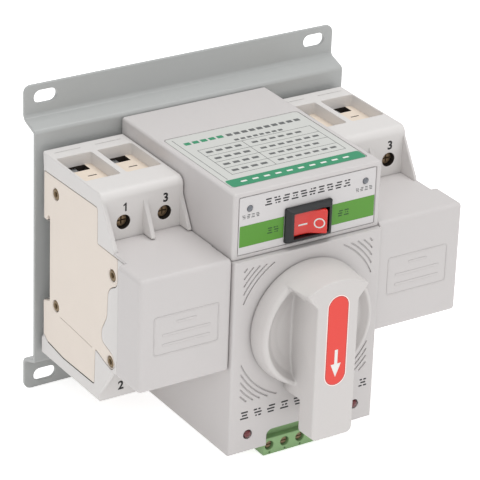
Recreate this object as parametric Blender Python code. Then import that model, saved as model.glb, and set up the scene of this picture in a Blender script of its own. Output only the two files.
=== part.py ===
"""Dual-supply manual/automatic transfer switch on a folded mounting plate.

Frame: +X to the right, +Y into the wall, +Z up.  The wall plane is y = 0.
The origin is the middle of the lower flange's back face.
All lengths are in millimetres and are turned into metres when a mesh is made.
Outlines are lists of points in a plane: (y, z) along x, (x, z) along y, (x, y) along z.
On the two mirrored sides, sign is -1 on the left and 1 on the right, and x is given
as a distance from the middle.  Cutting tools overshoot open faces by a few millimetres.
"""
import math

import bmesh
import bpy
from mathutils import Vector

for _object in list(bpy.data.objects):
    bpy.data.objects.remove(_object, do_unlink=True)

MM = 0.001
SIDES = (("left", -1), ("right", 1))

# --------------------------------------------------------- shared dimensions
GAP = 0.3                  # clearance between neighbouring pieces
INSET = 0.02               # keeps the faces of joined solids from coinciding

PLATE_T = 1.5              # sheet thickness
PLATE_STEP = 8.3           # how far the middle stands off the flanges
PLATE_FRONT = -(PLATE_T + PLATE_STEP)   # y of the middle's front face

RAIL_Z = 58.3              # middle of the top-hat rail
RAIL_ROOM_HALF = 18.0      # half height of the centre unit's recess for the rail
RAIL_ROOM_Y = -17.7        # front of that recess

BREAKER_X0 = 33.0          # inner side
BREAKER_X1 = 68.1          # outer side
BREAKER_Z0 = 14.9
BREAKER_Z1 = 100.9
BREAKER_FACE = -57.2       # terminal face

TOGGLE_Y = -68.0           # toggle pivot
TOGGLE_Z = RAIL_Z
TOGGLE_PIN_R = 2.2
WINDOW_HALF = 17.7         # half height of the side windows the rack arms pass
WINDOW_Y = -88.4           # front of those windows

UNIT_X = 32.65             # half width of the centre unit
UNIT_BACK = -10.1
FRONT_Y = -93.6            # lower front panel
UPPER_Y = -91.2            # upper front panel
UNIT_Z0 = -0.8
SEAM_Z = 80.2              # top of the lower cover
UNIT_Z1 = 107.0
WALL = 2.0

KNOB_Z = 50.0
SHAFT_R = 4.0
MODULE = 1.0
PINION_T = 14              # teeth of the rack pinion on the shaft
GEAR_T = 32                # teeth of the drive gear on the shaft
MOTOR_T = 10               # teeth of the motor pinion
MOTOR_Z = KNOB_Z - MODULE * (GEAR_T + MOTOR_T) / 2.0
MOTOR_PLATE_BACK = -37.0

ROCKER_Z = 89.75
ROCKER_HOLE = (9.6, 6.6)   # half width and half height of its panel hole

LED_X, LED_Z, LED_R = 25.5, 100.2, 1.5
LAMP_X, LAMP_Z, LAMP_R = 24.3, 6.75, 1.85


# ----------------------------------------------------------------- materials
def linear(channel):
    """One 0-255 sRGB channel as a linear value."""
    c = channel / 255.0
    return c / 12.92 if c <= 0.04045 else ((c + 0.055) / 1.055) ** 2.4


def material(name, rgb, rough, metal=0.0):
    mat = bpy.data.materials.new(name)
    mat.use_nodes = True
    shader = mat.node_tree.nodes["Principled BSDF"]
    colour = (*map(linear, rgb), 1.0)
    shader.inputs["Base Color"].default_value = colour
    shader.inputs["Roughness"].default_value = rough
    shader.inputs["Metallic"].default_value = metal
    mat.diffuse_color = colour
    return mat


GREY = material("grey_moulding", (206, 203, 201), rough=0.45)
CREAM = material("cream_moulding", (228, 218, 206), rough=0.5)
PAINT = material("plate_paint", (178, 179, 179), rough=0.4)
ZINC = material("zinc_steel", (190, 192, 194), rough=0.35, metal=0.9)
BRASS = material("brass", (178, 160, 110), rough=0.35, metal=0.9)
COPPER = material("copper", (196, 120, 80), rough=0.35, metal=0.9)
BLACK = material("black_moulding", (48, 50, 53), rough=0.45)
RED = material("red_moulding", (226, 64, 54), rough=0.35)
GREEN = material("green_moulding", (132, 186, 112), rough=0.45)
WHITE = material("white_moulding", (232, 232, 234), rough=0.5)
LABEL = material("label_sheet", (214, 214, 212), rough=0.4)
RED_LABEL = material("red_label", (236, 88, 78), rough=0.4)
STEEL = material("steel", (150, 150, 150), rough=0.35, metal=1.0)
BOARD = material("board", (40, 96, 62), rough=0.5)
LAMP_RED = material("lamp_red", (120, 14, 20), rough=0.2)
LED_GREY = material("led_grey", (120, 124, 130), rough=0.25)


# ------------------------------------------------------------------ outlines
def rectangle(u0, u1, v0, v1):
    return [(u0, v0), (u1, v0), (u1, v1), (u0, v1)]


def arc(u, v, radius, steps, start, end):
    """Points on an arc, both ends included; angles in degrees."""
    angles = [math.radians(start + (end - start) * i / steps) for i in range(steps + 1)]
    return [(u + radius * math.cos(a), v + radius * math.sin(a)) for a in angles]


def circle(u, v, radius, steps):
    return arc(u, v, radius, steps, 0.0, 360.0)[:-1]


def offset_outline(points, distance):
    """Move every side of a closed outline outwards, with mitred corners."""
    area = sum(a[0] * b[1] - b[0] * a[1] for a, b in zip(points, points[1:] + points[:1]))
    turn = 1.0 if area > 0 else -1.0
    out = []
    for i, point in enumerate(points):
        before, corner = Vector(points[i - 1]), Vector(point)
        after = Vector(points[(i + 1) % len(points)])
        dir_in, dir_out = (corner - before).normalized(), (after - corner).normalized()
        normal_in = Vector((dir_in.y, -dir_in.x)) * turn
        normal_out = Vector((dir_out.y, -dir_out.x)) * turn
        # the lower limit keeps sharp corners from shooting far out
        mitre = (normal_in + normal_out) / max(1.0 + normal_in.dot(normal_out), 0.35)
        out.append((corner.x + mitre.x * distance, corner.y + mitre.y * distance))
    return out


def fillet_path(points, radius, steps):
    """Round the inner corners of an open path."""
    out = [points[0]]
    for before, corner, after in zip(points, points[1:], points[2:]):
        before, corner, after = Vector(before), Vector(corner), Vector(after)
        back, ahead = (before - corner).normalized(), (after - corner).normalized()
        half = back.angle(ahead) / 2
        reach = min(radius / math.tan(half), (before - corner).length * 0.49,
                    (after - corner).length * 0.49)
        fitted = reach * math.tan(half)
        centre = corner + (back + ahead).normalized() * (fitted / math.sin(half))
        first = corner + back * reach - centre
        last = corner + ahead * reach - centre
        for i in range(steps + 1):
            point = centre + first.lerp(last, i / steps).normalized() * fitted
            out.append((point.x, point.y))
    out.append(points[-1])
    return out


def thicken(path, thickness):
    """A closed outline from an open path thickened to its left."""
    dirs = [(Vector(b) - Vector(a)).normalized() for a, b in zip(path, path[1:])]
    side = []
    for (u, v), before, after in zip(path, dirs[:1] + dirs, dirs + dirs[-1:]):
        normal_in, normal_out = Vector((-before.y, before.x)), Vector((-after.y, after.x))
        mitre = (normal_in + normal_out) / (1.0 + normal_in.dot(normal_out))
        side.append((u + mitre.x * thickness, v + mitre.y * thickness))
    return list(path) + side[::-1]


# -------------------------------------------------------------------- solids
def place(axis, u, v, height):
    """A point from plane coordinates (u, v) and the height along axis."""
    if axis == 'x':
        return Vector((height, u, v)) * MM
    if axis == 'y':
        return Vector((u, height, v)) * MM
    return Vector((u, v, height)) * MM


def loft(axis, sections):
    """A capped solid through (height along axis, outline) sections."""
    mesh = bmesh.new()
    rings = [[mesh.verts.new(place(axis, u, v, height)) for u, v in outline]
             for height, outline in sections]
    mesh.faces.new(rings[0])
    mesh.faces.new(rings[-1])
    for low, high in zip(rings, rings[1:]):
        for i in range(len(low)):
            j = (i + 1) % len(low)
            mesh.faces.new((low[i], low[j], high[j], high[i]))
    return mesh


def prism(outline, axis, start, end):
    return loft(axis, [(start, outline), (end, outline)])


def box(x0, x1, y0, y1, z0, z1):
    return prism(rectangle(x0, x1, y0, y1), 'z', z0, z1)


def cylinder(axis, u, v, radius, start, end, steps):
    return prism(circle(u, v, radius, steps), axis, start, end)


def turned(axis, u, v, stations, steps):
    """A solid of revolution: stations are (height along axis, radius)."""
    return loft(axis, [(height, circle(u, v, radius, steps)) for height, radius in stations])


def x_range(sign, a, b):
    """Two distances from the middle as an ascending range of x."""
    return sorted((sign * a, sign * b))


def side_box(sign, xa, xb, y0, y1, z0, z1):
    return box(*x_range(sign, xa, xb), y0, y1, z0, z1)


def side_prism(sign, outline, xa, xb):
    return prism(outline, 'x', *x_range(sign, xa, xb))


def side_cylinder(sign, y, z, radius, xa, xb, steps):
    return cylinder('x', y, z, radius, *x_range(sign, xa, xb), steps)


def round_edges(mesh, radius, steps, pick):
    """Bevel the edges whose midpoint (in mm) and direction pick accepts."""
    chosen = []
    for edge in mesh.edges:
        start, end = edge.verts[0].co, edge.verts[1].co
        if pick((start + end) / 2 / MM, (end - start).normalized()):
            chosen.append(edge)
    bmesh.ops.bevel(mesh, geom=chosen, offset=radius * MM, offset_type='OFFSET',
                    segments=steps, profile=0.5, affect='EDGES', clamp_overlap=True)


# ------------------------------------------------------------------- objects
def finish(name, mesh, mat, smooth=None):
    """Make the object; smooth is the angle above which edges stay sharp."""
    bmesh.ops.recalc_face_normals(mesh, faces=mesh.faces[:])
    data = bpy.data.meshes.new(name)
    mesh.to_mesh(data)
    mesh.free()
    data.materials.append(mat)
    piece = bpy.data.objects.new(name, data)
    bpy.context.scene.collection.objects.link(piece)
    if smooth is not None:
        data.shade_smooth()
        data.set_sharp_from_angle(angle=math.radians(smooth))
    return piece


def modify(piece, kind, meshes):
    """Give a piece one boolean modifier, with a hidden tool, for each mesh."""
    for mesh in meshes:
        tool = finish("tool", mesh, STEEL)
        tool.hide_render = True
        tool.display_type = 'WIRE'
        modifier = piece.modifiers.new("%s_%d" % (kind.lower(), len(piece.modifiers)),
                                       'BOOLEAN')
        modifier.operation = kind
        modifier.solver = 'EXACT'
        modifier.object = tool


def cut(piece, *meshes):
    modify(piece, 'DIFFERENCE', meshes)


def add(piece, *meshes):
    modify(piece, 'UNION', meshes)


def pivot(piece, x, y, z):
    """Put an object's origin on its joint axis without moving its mesh."""
    origin = Vector((x, y, z)) * MM
    for vertex in piece.data.vertices:
        vertex.co -= origin
    piece.location = origin


# ----------------------------------------------------- mounting plate, rail
PLATE_HALF = 70.0          # half width
PLATE_Z0 = -6.4            # bottom edge
PLATE_Z1 = 123.3           # top edge
FLANGE_Z_LO = 6.45         # top of the lower flange
FLANGE_Z_HI = 110.7        # bottom of the upper flange
BEND_RISE = 2.75           # height of each sloping bend
BEND_R = 1.6
CORNER_R = 3.0
SLOT_X = 61.0              # slot centres from the middle
SLOT_Z = (-1.2, 118.1)
SLOT_L = 10.0
SLOT_R = 2.75

RAIL_HALF_L = 60.0
RAIL_HALF_H = 17.5
RAIL_D = 7.5
RAIL_T = 1.0
RAIL_LIP = 4.0


def mounting_plate():
    path = [(-PLATE_T, PLATE_Z0),
            (-PLATE_T, FLANGE_Z_LO),
            (PLATE_FRONT, FLANGE_Z_LO + BEND_RISE),
            (PLATE_FRONT, FLANGE_Z_HI - BEND_RISE),
            (-PLATE_T, FLANGE_Z_HI),
            (-PLATE_T, PLATE_Z1)]
    path = fillet_path(path, BEND_R, 4)
    mesh = prism(thicken(path[::-1], PLATE_T), 'x', -PLATE_HALF, PLATE_HALF)
    round_edges(mesh, CORNER_R, 4, lambda mid, way: abs(way.y) > 0.9
                and abs(abs(mid.x) - PLATE_HALF) < 0.01
                and (mid.z < PLATE_Z0 + 0.01 or mid.z > PLATE_Z1 - 0.01))
    plate = finish("mounting_plate", mesh, PAINT, smooth=30)
    reach = SLOT_L / 2 - SLOT_R
    for x in (-SLOT_X, SLOT_X):
        for z in SLOT_Z:
            outline = (arc(x + reach, z, SLOT_R, 8, -90, 90)
                       + arc(x - reach, z, SLOT_R, 8, 90, 270))
            cut(plate, prism(outline, 'y', -4, 2))


def din_rail():
    lip, t = RAIL_LIP, RAIL_T
    y0, y1 = PLATE_FRONT - RAIL_D, PLATE_FRONT - GAP
    lo, hi = RAIL_Z - RAIL_HALF_H, RAIL_Z + RAIL_HALF_H
    outline = [(y0, lo), (y0 + t, lo), (y0 + t, lo + lip - t), (y1, lo + lip - t),
               (y1, hi - lip + t), (y0 + t, hi - lip + t), (y0 + t, hi), (y0, hi),
               (y0, hi - lip), (y1 - t, hi - lip), (y1 - t, lo + lip), (y0, lo + lip)]
    finish("din_rail", prism(outline, 'x', -RAIL_HALF_L, RAIL_HALF_L), ZINC)


# ------------------------------------------------------------------ breakers
BREAKER_BACK = -12.5
BLOCK_FRONT = -75.7        # front of the raised block
POLE_X = (42.0, 59.6)      # middles of the two poles
SCREW_DX = 0.9             # the screws sit this far right of the poles' middles
SCREW_Z = (88.4, 27.4)
SCREW_HOLE_R = 2.85
SCREW_HEAD_Y = -55.3
SCREW_HEAD_R, SCREW_SHANK_R = 2.55, 1.7
POCKET_HALF, POCKET_D = 7.45, 4.9       # cable pockets
POCKET_Y = (-43.4, -20.9)
WELL_HALF, WELL_D = 5.6, 17.4           # clamp wells in the pockets' floors
WELL_Y = (-25.8, -21.4)
SIDE_T = 1.6               # thickness of the side cover
RIVET_HOLE_R = 1.6
RIVET_SINK_R = 2.5

RIVETS = [(-22.5, 87.0), (-23.0, 40.0), (-65.5, 71.8), (-64.9, 35.6)]   # (y, z)

# side cover, (y, z)
SIDE_OUTLINE = [
    (-53.1, 20.8), (-29.5, 20.4), (-16.7, 21.9), (-13.6, 24.0),
    (-13.2, 38.6), (-18.1, 40.1), (-18.1, 75.9), (-16.2, 75.9),
    (-16.2, 73.4), (-13.6, 73.8), (-13.6, 93.4), (-54.1, 94.5),
    (-54.3, 80.0), (-69.2, 79.9), (-69.2, 68.8), (-62.6, 65.4),
    (-62.0, 53.0), (-58.0, 46.0), (-58.4, 41.5), (-66.5, 39.2),
    (-68.6, 35.6), (-66.0, 32.6), (-60.0, 34.0), (-53.6, 36.0),
]

# breaker case, (y, z): up the back, over the rounded top, down the front
CASE_OUTLINE = (
    [(-11.7, BREAKER_Z0), (-11.7, 22.0), (-13.0, 22.4), (-13.0, 38.6),
     (-17.9, 40.2), (-17.9, 76.1), (-16.0, 76.1), (-16.0, 73.2),
     (-13.0, 73.4), (-13.0, 95.0)]
    + fillet_path([(BREAKER_BACK, BREAKER_Z1), (BREAKER_FACE, BREAKER_Z1),
                   (BREAKER_FACE, 80.0)], 2.6, 4)
    + [(BLOCK_FRONT, 80.0), (BLOCK_FRONT, 37.5), (-69.5, 37.5),
       (-69.5, 32.0), (BREAKER_FACE, 32.0), (BREAKER_FACE, BREAKER_Z0)])

# room for the mechanism, (y, z)
CAVITY = [(-27.5, 39.0), (-27.5, 78.4), (-60.0, 78.4), (-60.0, 69.0),
          (-73.7, 69.0), (-73.7, 47.0), (-73.7, 40.0), (-60.5, 39.0)]


def case_fins(sign):
    """Sloping fins above and below the raised block."""
    # both breakers are the same unit, so the fins keep their order from left to right
    outer_t, inner_t, middle = (1.85, 1.6, 48.6) if sign < 0 else (1.2, 1.85, 50.9)
    root = BREAKER_FACE + 1.0
    fins = []
    # x from, x to, z of the upper fin's top, y of the fins' front
    for xa, xb, top, foot in ((BREAKER_X1 - outer_t, BREAKER_X1 - INSET, 97.8, -66.4),
                              (middle, middle + 1.8, 95.0, -63.7),
                              (BREAKER_X0 + INSET, BREAKER_X0 + inner_t, 94.6, -63.7)):
        upper = [(root, top + 1.0), (foot, 82.2), (foot, 81.6), (root, 81.6)]
        lower = [(root, 16.2), (foot, 31.4), (foot, 33.0), (root, 33.0)]
        fins += [side_prism(sign, upper, xa, xb), side_prism(sign, lower, xa, xb)]
    return fins


def end_recess(sign, x, half, y_span, mouth, way, depth):
    """Recess in the top (way 1) or bottom (way -1) end of the case."""
    z_span = sorted((mouth + way * 2, mouth - way * depth))
    return side_box(sign, x - half, x + half, *y_span, *z_span)


def breaker_case(side, sign):
    """Moulded shell, open towards its outer side."""
    case = finish(side + "_breaker_case",
                  side_prism(sign, CASE_OUTLINE, BREAKER_X0, BREAKER_X1), GREY, smooth=30)
    add(case, *case_fins(sign))
    cutters = [side_prism(sign, offset_outline(SIDE_OUTLINE, GAP),
                          BREAKER_X1 - SIDE_T - GAP, BREAKER_X1 + 2),
               side_prism(sign, CAVITY, BREAKER_X0 + 2.0, BREAKER_X1 - 1.0),
               # slot the toggle moves in
               side_box(sign, 37.6, 62.6, -80, -72, TOGGLE_Z - 10.8, TOGGLE_Z + 10.8)]
    for x in POLE_X:
        for mouth, way in ((BREAKER_Z1, 1), (BREAKER_Z0, -1)):
            cutters += [
                end_recess(sign, x, POCKET_HALF, POCKET_Y, mouth, way, POCKET_D),
                end_recess(sign, x, WELL_HALF, WELL_Y, mouth, way, WELL_D)]
        for z in SCREW_Z:
            cutters.append(cylinder('y', sign * x + SCREW_DX, z, SCREW_HOLE_R,
                                    -70.0, -41.5, 20))
    for y, z in RIVETS:
        cutters.append(side_cylinder(sign, y, z, RIVET_HOLE_R,
                                     BREAKER_X1 - 3.6, BREAKER_X1 + 1, 12))
    # guide for the sliding rail clip
    cutters.append(side_box(sign, 40.5, 60.5, -17.0, -9.0, BREAKER_Z0 - 2, 43.0))
    cut(case, *cutters)


def side_cover(side, sign):
    cover = finish(side + "_side_cover",
                   side_prism(sign, SIDE_OUTLINE, BREAKER_X1 - SIDE_T, BREAKER_X1), CREAM)
    # shallow sinks first, then the through holes
    for radius, depth, steps in ((RIVET_SINK_R, 0.9, 16), (RIVET_HOLE_R, 3, 12)):
        cut(cover, *[side_cylinder(sign, y, z, radius, BREAKER_X1 - depth,
                                   BREAKER_X1 + 1, steps) for y, z in RIVETS])


def rivets(side, sign):
    # depth below the breaker's outer side, radius
    profile = [(3.2, 1.3), (0.62, 1.3), (0.62, 2.2), (0.1, 2.0)]
    stations = [(sign * (BREAKER_X1 - depth), radius) for depth, radius in profile]
    for i, (y, z) in enumerate(RIVETS):
        finish("%s_rivet_%d" % (side, i + 1), turned('x', y, z, stations, 16),
               BRASS, smooth=35)


def terminal_screws(side, sign):
    stations = [(SCREW_HEAD_Y, 2.3), (SCREW_HEAD_Y + 0.3, SCREW_HEAD_R),
                (-51.4, SCREW_HEAD_R), (-51.4, SCREW_SHANK_R), (-42.2, SCREW_SHANK_R)]
    places = [(x, z) for z in SCREW_Z for x in POLE_X]
    for i, (x, z) in enumerate(places):
        finish("%s_terminal_screw_%d" % (side, i + 1),
               turned('y', sign * x + SCREW_DX, z, stations, 20), BRASS, smooth=35)


TOGGLE_R = 15.2            # pivot to driven pin
TOGGLE_HUB_R = 5.0

ARM_Y, ARM_Z = -52.0, 62.0 # moving contact pivot
ARM_L = 20.0
ARM_TIP_DROP = 2.4         # contact tip's reach below the arm's middle line
ARM_DIP = 13.5             # degrees the arm dips to meet the fixed contact

CHUTE_PLATES, CHUTE_PITCH, CHUTE_PLATE_T = 8, 2.2, 1.0
CHUTE_Z0 = 57.4
CHUTE_BACK, CHUTE_FRONT = -28.2, -30.6
CHUTE_FRAME_T = 0.9


def toggle_bar(side, sign):
    """Linked toggle of both poles, with the driven pin."""
    tip, root = TOGGLE_Y - TOGGLE_R, TOGGLE_Y - 4.6
    outline = (arc(TOGGLE_Y, TOGGLE_Z, TOGGLE_HUB_R, 18, -160, 160)
               + [(root, TOGGLE_Z + 1.5), (tip, TOGGLE_Z + 1.4), (tip - 1.6, TOGGLE_Z),
                  (tip, TOGGLE_Z - 1.4), (root, TOGGLE_Z - 1.5)])
    bar = finish(side + "_toggle_bar", side_prism(sign, outline, 43.6, 61.0),
                 BLACK, smooth=35)
    add(bar, side_cylinder(sign, tip, TOGGLE_Z, TOGGLE_PIN_R, 38.6, 60.0, 20))
    pivot(bar, 0.0, TOGGLE_Y, TOGGLE_Z)


def contact_arm(side, sign):
    tip, neck = ARM_Y + ARM_L, ARM_Y + ARM_L - 3
    low = ARM_Z - ARM_TIP_DROP
    outline = (arc(ARM_Y, ARM_Z, 3.0, 14, 45, 315)
               + [(neck, ARM_Z - 1.3), (neck, low), (tip, low),
                  (tip + 0.8, ARM_Z), (tip, ARM_Z + 1.3)])
    arm = finish(side + "_contact_arm", side_prism(sign, outline, 48.0, 52.5),
                 COPPER, smooth=35)
    pivot(arm, 0.0, ARM_Y, ARM_Z)


def trip_coil(side, sign):
    """Trip coil with its yoke and the fixed contact brazed to it."""
    top = ARM_Z - ARM_L * math.sin(math.radians(ARM_DIP)) - ARM_TIP_DROP - 0.6
    stations = [(-46.0, 3.0), (-44.0, 3.0), (-44.0, 6.6), (-29.5, 6.6)]
    coil = finish(side + "_trip_coil", turned('y', sign * 50.25, 46.6, stations, 24),
                  COPPER, smooth=35)
    add(coil, side_box(sign, 47.6, 52.9, -38.0, -28.6, 50.0, top))


def arc_chute(side, sign):
    """A comb of splitter plates in one frame."""
    outline = [(CHUTE_BACK, CHUTE_Z0)]
    for i in range(CHUTE_PLATES):
        z = CHUTE_Z0 + i * CHUTE_PITCH
        top = z + CHUTE_PLATE_T
        outline += [(CHUTE_FRONT, z), (CHUTE_FRONT, top)]
        if i < CHUTE_PLATES - 1:
            notch = CHUTE_BACK - CHUTE_FRAME_T
            outline += [(notch, top), (notch, z + CHUTE_PITCH)]
    outline.append((CHUTE_BACK, top))
    finish(side + "_arc_chute", side_prism(sign, outline, 42.0, 58.6), STEEL)


def rail_clip(side, sign):
    """Sliding clip behind the lower half of the case."""
    outline = [(-13.4, 16.0), (-13.4, 42.8), (-16.0, 42.8), (-16.0, 39.6),
               (-16.7, 39.6), (-16.7, 16.0)]
    clip = finish(side + "_rail_clip", side_prism(sign, outline, 40.8, 60.2), BLACK)
    pivot(clip, sign * 50.5, -15.0, 29.0)


CAP_X1 = 71.7              # toggle cover: outer side
CAP_Y0, CAP_Y1 = -91.7, -76.0           # front and back edge
CAP_Z0, CAP_Z1 = 35.2, 81.3
CAP_T = 2.0
CAP_INNER_Z0 = 37.2
CAP_SHOULDER_Z = 80.3      # underside of the upper lip


def toggle_cover(side, sign):
    """A cap over the block with a lip along the shoulder."""
    mesh = side_box(sign, BREAKER_X0, CAP_X1, CAP_Y0, CAP_Y1, CAP_Z0, CAP_Z1)
    round_edges(mesh, 1.8, 3, lambda mid, way:
                (mid.y < CAP_Y0 + 0.01 and abs(way.y) < 0.1)
                or (abs(way.y) > 0.9 and abs(mid.x - sign * CAP_X1) < 0.01))
    cap = finish(side + "_toggle_cover", mesh, GREY, smooth=35)
    x_lip, y_lip = BREAKER_X0 + INSET, CAP_Y1 - 2.0
    add(cap, side_box(sign, x_lip, BREAKER_X1, y_lip, BREAKER_FACE - GAP,
                      CAP_SHOULDER_Z, CAP_Z1 - INSET),
        side_box(sign, x_lip, BREAKER_X1, y_lip, -70.0, CAP_Z0 + INSET, CAP_INNER_Z0))
    cut(cap, side_box(sign, BREAKER_X0 + CAP_T, CAP_X1 - CAP_T, CAP_Y0 + CAP_T, -60.0,
                      CAP_INNER_Z0, CAP_Z1 - CAP_T),
        side_box(sign, BREAKER_X0 - 1, CAP_X1 - CAP_T, CAP_Y1, -50.0,
                 CAP_INNER_Z0, CAP_SHOULDER_Z),
        # window in the inner side
        side_box(sign, BREAKER_X0 - 1, BREAKER_X0 + 4, WINDOW_Y, -74.0,
                 TOGGLE_Z - WINDOW_HALF, TOGGLE_Z + WINDOW_HALF))


def breaker(side, sign):
    for build in (breaker_case, side_cover, rivets, terminal_screws, toggle_bar,
                  contact_arm, trip_coil, arc_chute, rail_clip, toggle_cover):
        build(side, sign)


# --------------------------------------------------------------- centre unit
LOWER_CUT = (-97, -88)     # y range of tools through the lower front panel
UPPER_CUT = (-97, -87)     # and through the upper one
NOTCH_HALF = 15.6          # notch in the lower panel around the terminal block
NOTCH_TOP = 6.1
LABEL_T = 0.3
LABEL_RECESS = 0.6
NAMEPLATE = (29.9, -85.3, -37.1)        # half width, front and back y
CONTROL_LABEL = (30.1, 82.1, 105.0)     # half width, bottom and top z
POST_X, POST_Z, POST_R = 15.5, 22.0, 2.5


def unit_shell(name, y_front, z0, z1, radius, pick_end):
    """Block with its upright edges and the end edges pick_end accepts rounded."""
    mesh = box(-UNIT_X, UNIT_X, y_front, UNIT_BACK, z0, z1)
    round_edges(mesh, radius, 3, lambda mid, way: abs(way.z) > 0.9 or pick_end(mid))
    return finish(name, mesh, GREY, smooth=35)


def front_cover():
    cover = unit_shell("front_cover", FRONT_Y, UNIT_Z0, SEAM_Z, 1.0,
                       lambda mid: mid.z < UNIT_Z0 + 0.01 and mid.y < FRONT_Y + 0.01)
    inner = UNIT_X - WALL
    notch = fillet_path([(-NOTCH_HALF, UNIT_Z0 - 3), (-NOTCH_HALF, NOTCH_TOP),
                         (NOTCH_HALF, NOTCH_TOP), (NOTCH_HALF, UNIT_Z0 - 3)], 2.5, 4)
    cutters = [box(-inner, inner, FRONT_Y + WALL, 0.0, UNIT_Z0 + WALL, SEAM_Z - WALL),
               cylinder('y', 0, KNOB_Z, 7.0, *LOWER_CUT, 32),
               prism(notch, 'y', *LOWER_CUT),
               box(-NOTCH_HALF, NOTCH_HALF, -90, -77.0, UNIT_Z0 - 3, UNIT_Z0 + 3),
               box(-inner, inner, -13.4, 0, SEAM_Z - 4, SEAM_Z + 2),
               box(-UNIT_X - 2, UNIT_X + 2, RAIL_ROOM_Y, 0,
                   RAIL_Z - RAIL_ROOM_HALF, RAIL_Z + RAIL_ROOM_HALF)]
    for _, sign in SIDES:
        cutters += [
            cylinder('y', sign * LAMP_X, LAMP_Z, LAMP_R + 0.15, *LOWER_CUT, 16),
            side_box(sign, inner - 1, UNIT_X + 1, WINDOW_Y, -75.6,
                     TOGGLE_Z - WINDOW_HALF, TOGGLE_Z + WINDOW_HALF)]
    cut(cover, *cutters)


def controller_cover():
    z0 = SEAM_Z + GAP
    cover = unit_shell("controller_cover", UPPER_Y, z0, UNIT_Z1, 1.1,
                       lambda mid: mid.z > UNIT_Z1 - 0.01)
    inner = UNIT_X - WALL
    plate_half, plate_y0, plate_y1 = NAMEPLATE
    label_half, label_z0, label_z1 = CONTROL_LABEL
    hole_x, hole_z = ROCKER_HOLE
    cut(cover, box(-inner, inner, UPPER_Y + WALL, 0.0, z0 - 2, UNIT_Z1 - WALL),
        box(-label_half - GAP, label_half + GAP, UPPER_Y - 2, UPPER_Y + LABEL_RECESS,
            label_z0 - GAP, label_z1 + GAP),
        box(-plate_half - GAP, plate_half + GAP, plate_y0 - GAP, plate_y1 + GAP,
            UNIT_Z1 - LABEL_RECESS, UNIT_Z1 + 2),
        box(-hole_x, hole_x, *UPPER_CUT, ROCKER_Z - hole_z, ROCKER_Z + hole_z),
        *[cylinder('y', sign * LED_X, LED_Z, LED_R + 0.2, *UPPER_CUT, 16)
          for _, sign in SIDES])


def centre_base():
    """Back plate inside the covers, with the shaft bearing and motor posts."""
    base = finish("centre_base", box(-30.3, 30.3, -13.1, UNIT_BACK, 1.6, 104.6), GREY)
    add(base, box(-30.25, 30.25, -20.9, -12.0, 37.2, 77.8),
        cylinder('y', 0, KNOB_Z, 8.0, -27.0, -19.0, 28),
        *[cylinder('y', sign * POST_X, POST_Z, POST_R, MOTOR_PLATE_BACK + GAP, -12.0, 16)
          for _, sign in SIDES])
    cut(base, box(-34, 34, RAIL_ROOM_Y, -8,
                  RAIL_Z - RAIL_ROOM_HALF, RAIL_Z + RAIL_ROOM_HALF),
        cylinder('y', 0, KNOB_Z, SHAFT_R + 0.08, -30.0, -21.4, 32))


def nameplate():
    half, y0, y1 = NAMEPLATE
    finish("nameplate", box(-half, half, y0, y1, UNIT_Z1 - LABEL_T, UNIT_Z1), LABEL)


def control_label():
    half, z0, z1 = CONTROL_LABEL
    hole_x, hole_z = ROCKER_HOLE[0] + GAP, ROCKER_HOLE[1] + GAP
    label = finish("control_label", box(-half, half, UPPER_Y, UPPER_Y + LABEL_T, z0, z1),
                   WHITE)
    cut(label, box(-hole_x, hole_x, *UPPER_CUT, ROCKER_Z - hole_z, ROCKER_Z + hole_z),
        *[cylinder('y', sign * LED_X, LED_Z, LED_R + 0.4, *UPPER_CUT, 16)
          for _, sign in SIDES])


# blocks standing on the control board: x0, x1, y0, y1, top z
BOARD_BLOCKS = [(-24, -8, -44, -26, 98.0), (2, 14, -50, -30, 95.0),
                (16, 25, -50, -30, 95.0)]
BOARD_PART_Z0 = 84.0       # sunk into the board


def control_board():
    board = finish("control_board", box(-28, 28, -76, -20, 83.0, 84.6), BOARD)
    add(board, *[box(x0, x1, y0, y1, BOARD_PART_Z0, top)
                 for x0, x1, y0, y1, top in BOARD_BLOCKS],
        cylinder('z', -16, -60, 4.0, BOARD_PART_Z0, 97.0, 16))


# a short upright edge, then four slopes up to a narrow flat rim
BEZEL_STATIONS = [(UPPER_Y - 0.1, 10.35, 7.05), (-92.0, 10.35, 7.05),
                  (-94.2, 8.7, 6.0)]    # y, half width, half height
ROCKER_PIVOT_Y = -90.5
ROCKER_TILT = math.radians(14.0)        # each side of level
ROCKER_HALF = 6.9          # half width
ROCKER_HALF_H = 4.8
ROCKER_DIP = 2.2           # how far the front's middle stands before the pivot


def rocker_bezel():
    bezel = finish("rocker_bezel",
                   loft('y', [(y, rectangle(-half_w, half_w, ROCKER_Z - half_h,
                                            ROCKER_Z + half_h))
                              for y, half_w, half_h in BEZEL_STATIONS]), BLACK)
    add(bezel, box(-9.3, 9.3, -92.0, -79.5, ROCKER_Z - 6.3, ROCKER_Z + 6.3))
    cut(bezel, box(-7.75, 7.75, -97, -85.5, ROCKER_Z - 5.1, ROCKER_Z + 5.1))


def rocker():
    """Rocker, pressed in on its left-hand side."""
    half = ROCKER_HALF
    rise = ROCKER_DIP + half * math.tan(ROCKER_TILT)
    level = [(-half, -rise), (0.0, -ROCKER_DIP), (half, -rise), (half, -0.6),
             (4.6, 3.4), (-4.6, 3.4), (-half, -0.6)]
    cos, sin = math.cos(-ROCKER_TILT), math.sin(-ROCKER_TILT)
    outline = [(x * cos - y * sin, ROCKER_PIVOT_Y + x * sin + y * cos) for x, y in level]
    piece = finish("rocker", prism(outline, 'z', ROCKER_Z - ROCKER_HALF_H,
                                   ROCKER_Z + ROCKER_HALF_H), RED)
    pivot(piece, 0, ROCKER_PIVOT_Y, ROCKER_Z)


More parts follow.
